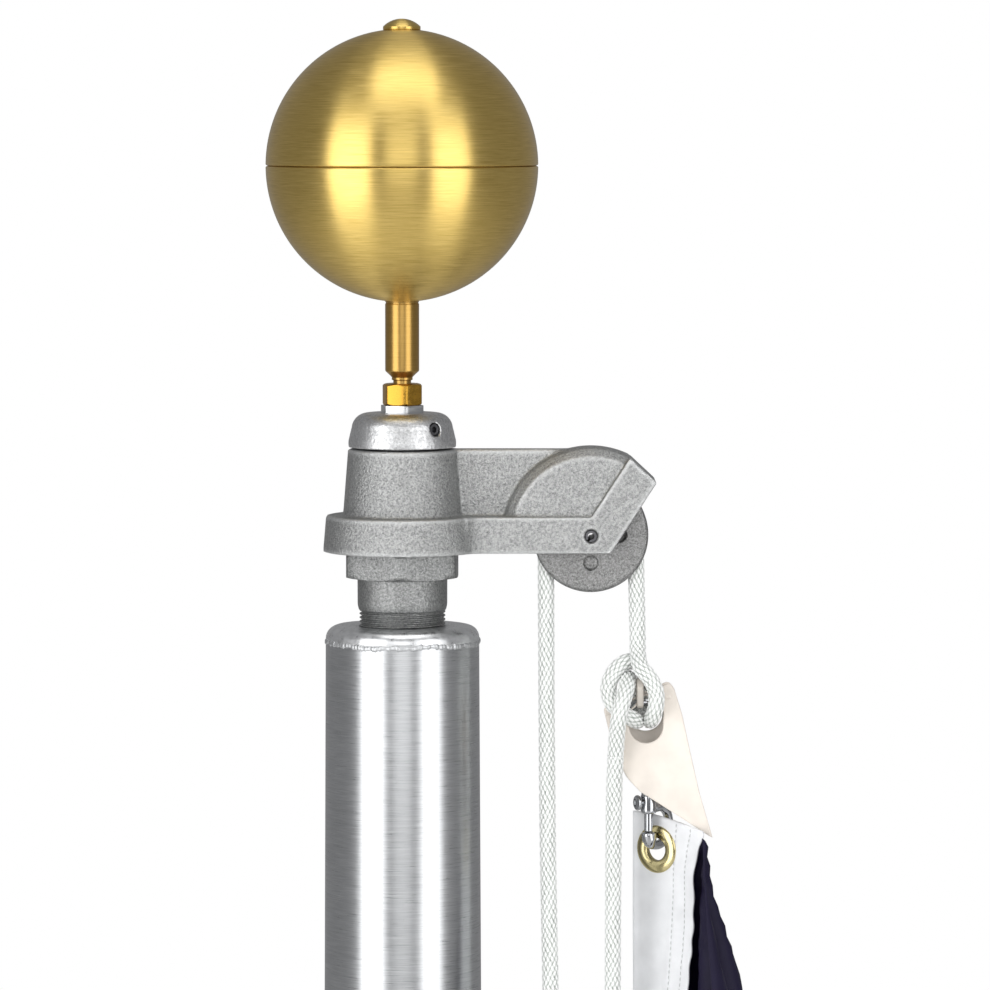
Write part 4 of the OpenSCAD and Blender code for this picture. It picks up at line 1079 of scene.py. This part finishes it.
def obstacle(obj, outer):
    # a piece that the cloth falls against, and how far it is kept off
    obj.modifiers.new("collision", "COLLISION")
    obj.collision.thickness_outer = outer
    obj.collision.cloth_friction = 5
    return obj


def post(name, start, end, radius):
    # a plain twelve-sided bar that the cloth may touch
    start, end = np.array(start, float), np.array(end, float)
    along = (end - start) / np.linalg.norm(end - start)
    side = np.cross(along, [0, 1, 0] if abs(along[1]) < 0.9 else [1, 0, 0])
    side /= np.linalg.norm(side)
    other = np.cross(along, side)
    bm = bmesh.new()
    turns = [math.pi * k / 6 for k in range(12)]
    rings = [[bm.verts.new(tuple(c + radius * (math.cos(t) * side + math.sin(t) * other)))
              for t in turns] for c in (start, end)]
    for k in range(12):
        bm.faces.new((rings[0][k], rings[0][(k + 1) % 12], rings[1][(k + 1) % 12], rings[1][k]))
    bm.faces.new(rings[0][::-1])
    bm.faces.new(rings[1])
    bmesh.ops.recalc_face_normals(bm, faces=bm.faces)
    mesh = bpy.data.meshes.new(name)
    bm.to_mesh(mesh)
    bm.free()
    obj = bpy.data.objects.new(name, mesh)
    bpy.context.scene.collection.objects.link(obj)
    return obstacle(obj, 0.003)


def stripWall():
    # the heading as a thin box, a little short of the cloth's held edge
    bm = bmesh.new()
    for reach in (-0.017, 0.019):
        for side in (-1, 1):
            for height in (flagTop - hoist, flagTop):
                point = grommetAt * [1, 1, 0] + alongHeading * reach + acrossHeading * 0.001 * side
                point = point + np.array([0, 0, height])
                bm.verts.new(tuple(point))
    bmesh.ops.convex_hull(bm, input=bm.verts)
    bmesh.ops.recalc_face_normals(bm, faces=bm.faces)
    mesh = bpy.data.meshes.new("strip")
    bm.to_mesh(mesh)
    bm.free()
    obj = bpy.data.objects.new("strip", mesh)
    bpy.context.scene.collection.objects.link(obj)
    return obstacle(obj, 0.002)


posts = [((0, 0, -0.1), (0, 0, 1.3), 0.054), ((0.119, -0.008, 0.68), (0.119, -0.008, 1.13), 0.006),
         ((0.083, 0, 1.2), (0.090, 0, 0.7), 0.006), ((0.090, 0, 0.7), (0.102, 0, 0.38), 0.006),
         ((0.122, 0, 0.44), (0.112, 0, 0.38), 0.006), ((0.107, 0, 0.30), (0.107, 0, 0.39), 0.015),
         ((0.133, 0, 0.470), (0.139, 0, 0.585), 0.017)]


def fallenCloth():
    # the cloth's points after the fall, as a grid over its width and height
    nu, nv = cloth["across"], cloth["down"]
    u = np.linspace(0, cloth["fly"], nu)
    v = np.linspace(0, hoist, nv)
    swing = cloth["swing"] * np.sin(u / cloth["pleat"] * np.pi + 0.25 * np.pi) * np.minimum(u / 0.03, 1)
    step = np.diff(u, prepend=0)
    along, aside = np.cumsum(np.cos(swing) * step), np.cumsum(np.sin(swing) * step)
    held = grommetAt * [1, 1, 0] + alongHeading * heading["end"] * mm
    start = held + along[:, None, None] * alongHeading + aside[:, None, None] * acrossHeading
    start = start + (np.array([0, 0, flagTop]) - v[None, :, None] * np.array([0, 0, 1.0]))
    ruffle = 0.0005 * np.random.default_rng(4).standard_normal(start.shape)
    start = start + ruffle * np.minimum(u * 10, 1)[:, None, None]
    i, j = np.arange(nu - 1)[:, None], np.arange(nv - 1)[None, :]
    corners = [i * nv + j, (i + 1) * nv + j, (i + 1) * nv + j + 1, i * nv + j + 1]
    faces = np.stack(corners, axis=-1).reshape(-1, 4)
    obj = makeMesh("fallingCloth", start.reshape(-1, 3), faces)
    obj.vertex_groups.new(name="held").add(list(range(nv)), 1.0, "REPLACE")
    walls = [post("post", *bar) for bar in posts] + [stripWall()]
    change = obj.modifiers.new("cloth", "CLOTH")
    fabric, touch = change.settings, change.collision_settings
    fabric.vertex_group_mass = "held"
    fabric.quality, fabric.mass, fabric.air_damping = 7, 0.05, 1.0
    fabric.tension_stiffness = fabric.compression_stiffness = 40
    fabric.shear_stiffness, fabric.bending_stiffness = 15, 0.15
    fabric.tension_damping = fabric.compression_damping = fabric.shear_damping = 10
    fabric.bending_damping = 1.0
    touch.use_self_collision, touch.self_distance_min = True, 0.003
    touch.distance_min, touch.collision_quality = 0.003, 2
    change.point_cache.frame_start, change.point_cache.frame_end = 1, cloth["frames"]
    scene = bpy.context.scene
    scene.frame_start, scene.frame_end = 1, cloth["frames"]
    for number in range(1, cloth["frames"] + 1):
        scene.frame_set(number)
    fallen = obj.evaluated_get(bpy.context.evaluated_depsgraph_get()).data
    co = np.empty(nu * nv * 3, dtype=np.float32)
    fallen.vertices.foreach_get("co", co)
    scene.frame_set(1)
    for extra in walls + [obj]:
        old = extra.data
        bpy.data.objects.remove(extra)
        bpy.data.meshes.remove(old)
    return co.reshape(nu, nv, 3).astype(float)


def finer(grid):
    # twice as many points each way, on Catmull-Rom curves through the old ones
    for turn in range(2):
        ends = np.concatenate([2 * grid[:1] - grid[1:2], grid, 2 * grid[-1:] - grid[-2:-1]])
        between = (9 * (ends[1:-2] + ends[2:-1]) - ends[:-3] - ends[3:]) / 16
        out = np.empty((2 * len(grid) - 1,) + grid.shape[1:])
        out[::2], out[1::2] = grid, between
        grid = out.swapaxes(0, 1)
    return grid


def gridNormals(grid):
    # cross product of the grid's two slopes, made one long
    normal = np.cross(np.gradient(grid, axis=0), np.gradient(grid, axis=1))
    return normal / np.linalg.norm(normal, axis=-1)[..., None]


fallen = finer(fallenCloth())
u = np.linspace(0, cloth["fly"], fallen.shape[0])[:, None]
v = np.linspace(0, hoist, fallen.shape[1])[None, :]
# the top hangs from the snap, so it is drawn in there until its far side keeps to the profile
seam = fallen[0, 0, :2]
levels = np.arange(flagTop - 0.30, flagTop + 0.001, 0.006)
widest = np.array([fallen[..., 0][np.abs(fallen[..., 2] - z) < 0.009].max() for z in levels])
target = np.interp(levels - grommetZ, cloth["levels"], cloth["profile"])
share = np.clip((target - seam[0]) / np.maximum(widest - seam[0], 1 * mm), 0.25, 1.0)
share = np.convolve(np.pad(share, 2, mode="edge"), np.ones(5) / 5, mode="valid")
fallen[..., :2] = seam + (fallen[..., :2] - seam) * np.interp(fallen[..., 2], levels, share)[..., None]
# folds that stand far out in front or behind are pressed back a little
excess = np.maximum(np.abs(fallen[..., 1]) - cloth["calm"], 0)
fallen[..., 1] -= np.sign(fallen[..., 1]) * 4.6 * excess ** 2
# the straight held edge follows the heading's own twist and buckles
shift = headingPoint(np.full(v.shape[1], heading["end"] - 1.0), v[0] / mm) - fallen[0]
fallen = fallen + shift[None] * np.exp(-(u / 0.07) ** 1.5)[..., None]
inward = np.minimum(cloth["fly"] - u, np.minimum(v, hoist - v))
half = cloth["half"] + (cloth["hemHalf"] - cloth["half"]) * smoothStep((cloth["hem"] + 0.5 * mm - inward) / mm)
half = half * (0.35 + 0.65 * smoothStep(inward / (1.2 * mm)))
out = gridNormals(fallen) * half[..., None]
uv = np.stack(np.broadcast_arrays(u, -v), axis=-1)
whole = np.ones((fallen.shape[0] - 1, fallen.shape[1] - 1), dtype=bool)
sheet = slab("flagCloth", fallen + out, fallen - out, whole, uv)
give(heal(sheet, 1e-7), clothNavy, "truck", "navy_cloth", "flag_cloth")
print("cloth done")

for node, material in {
        "cap_set_screw": darkSteel, "sheave_pin": darkSteel,
        }.items():
    paint(node, material)
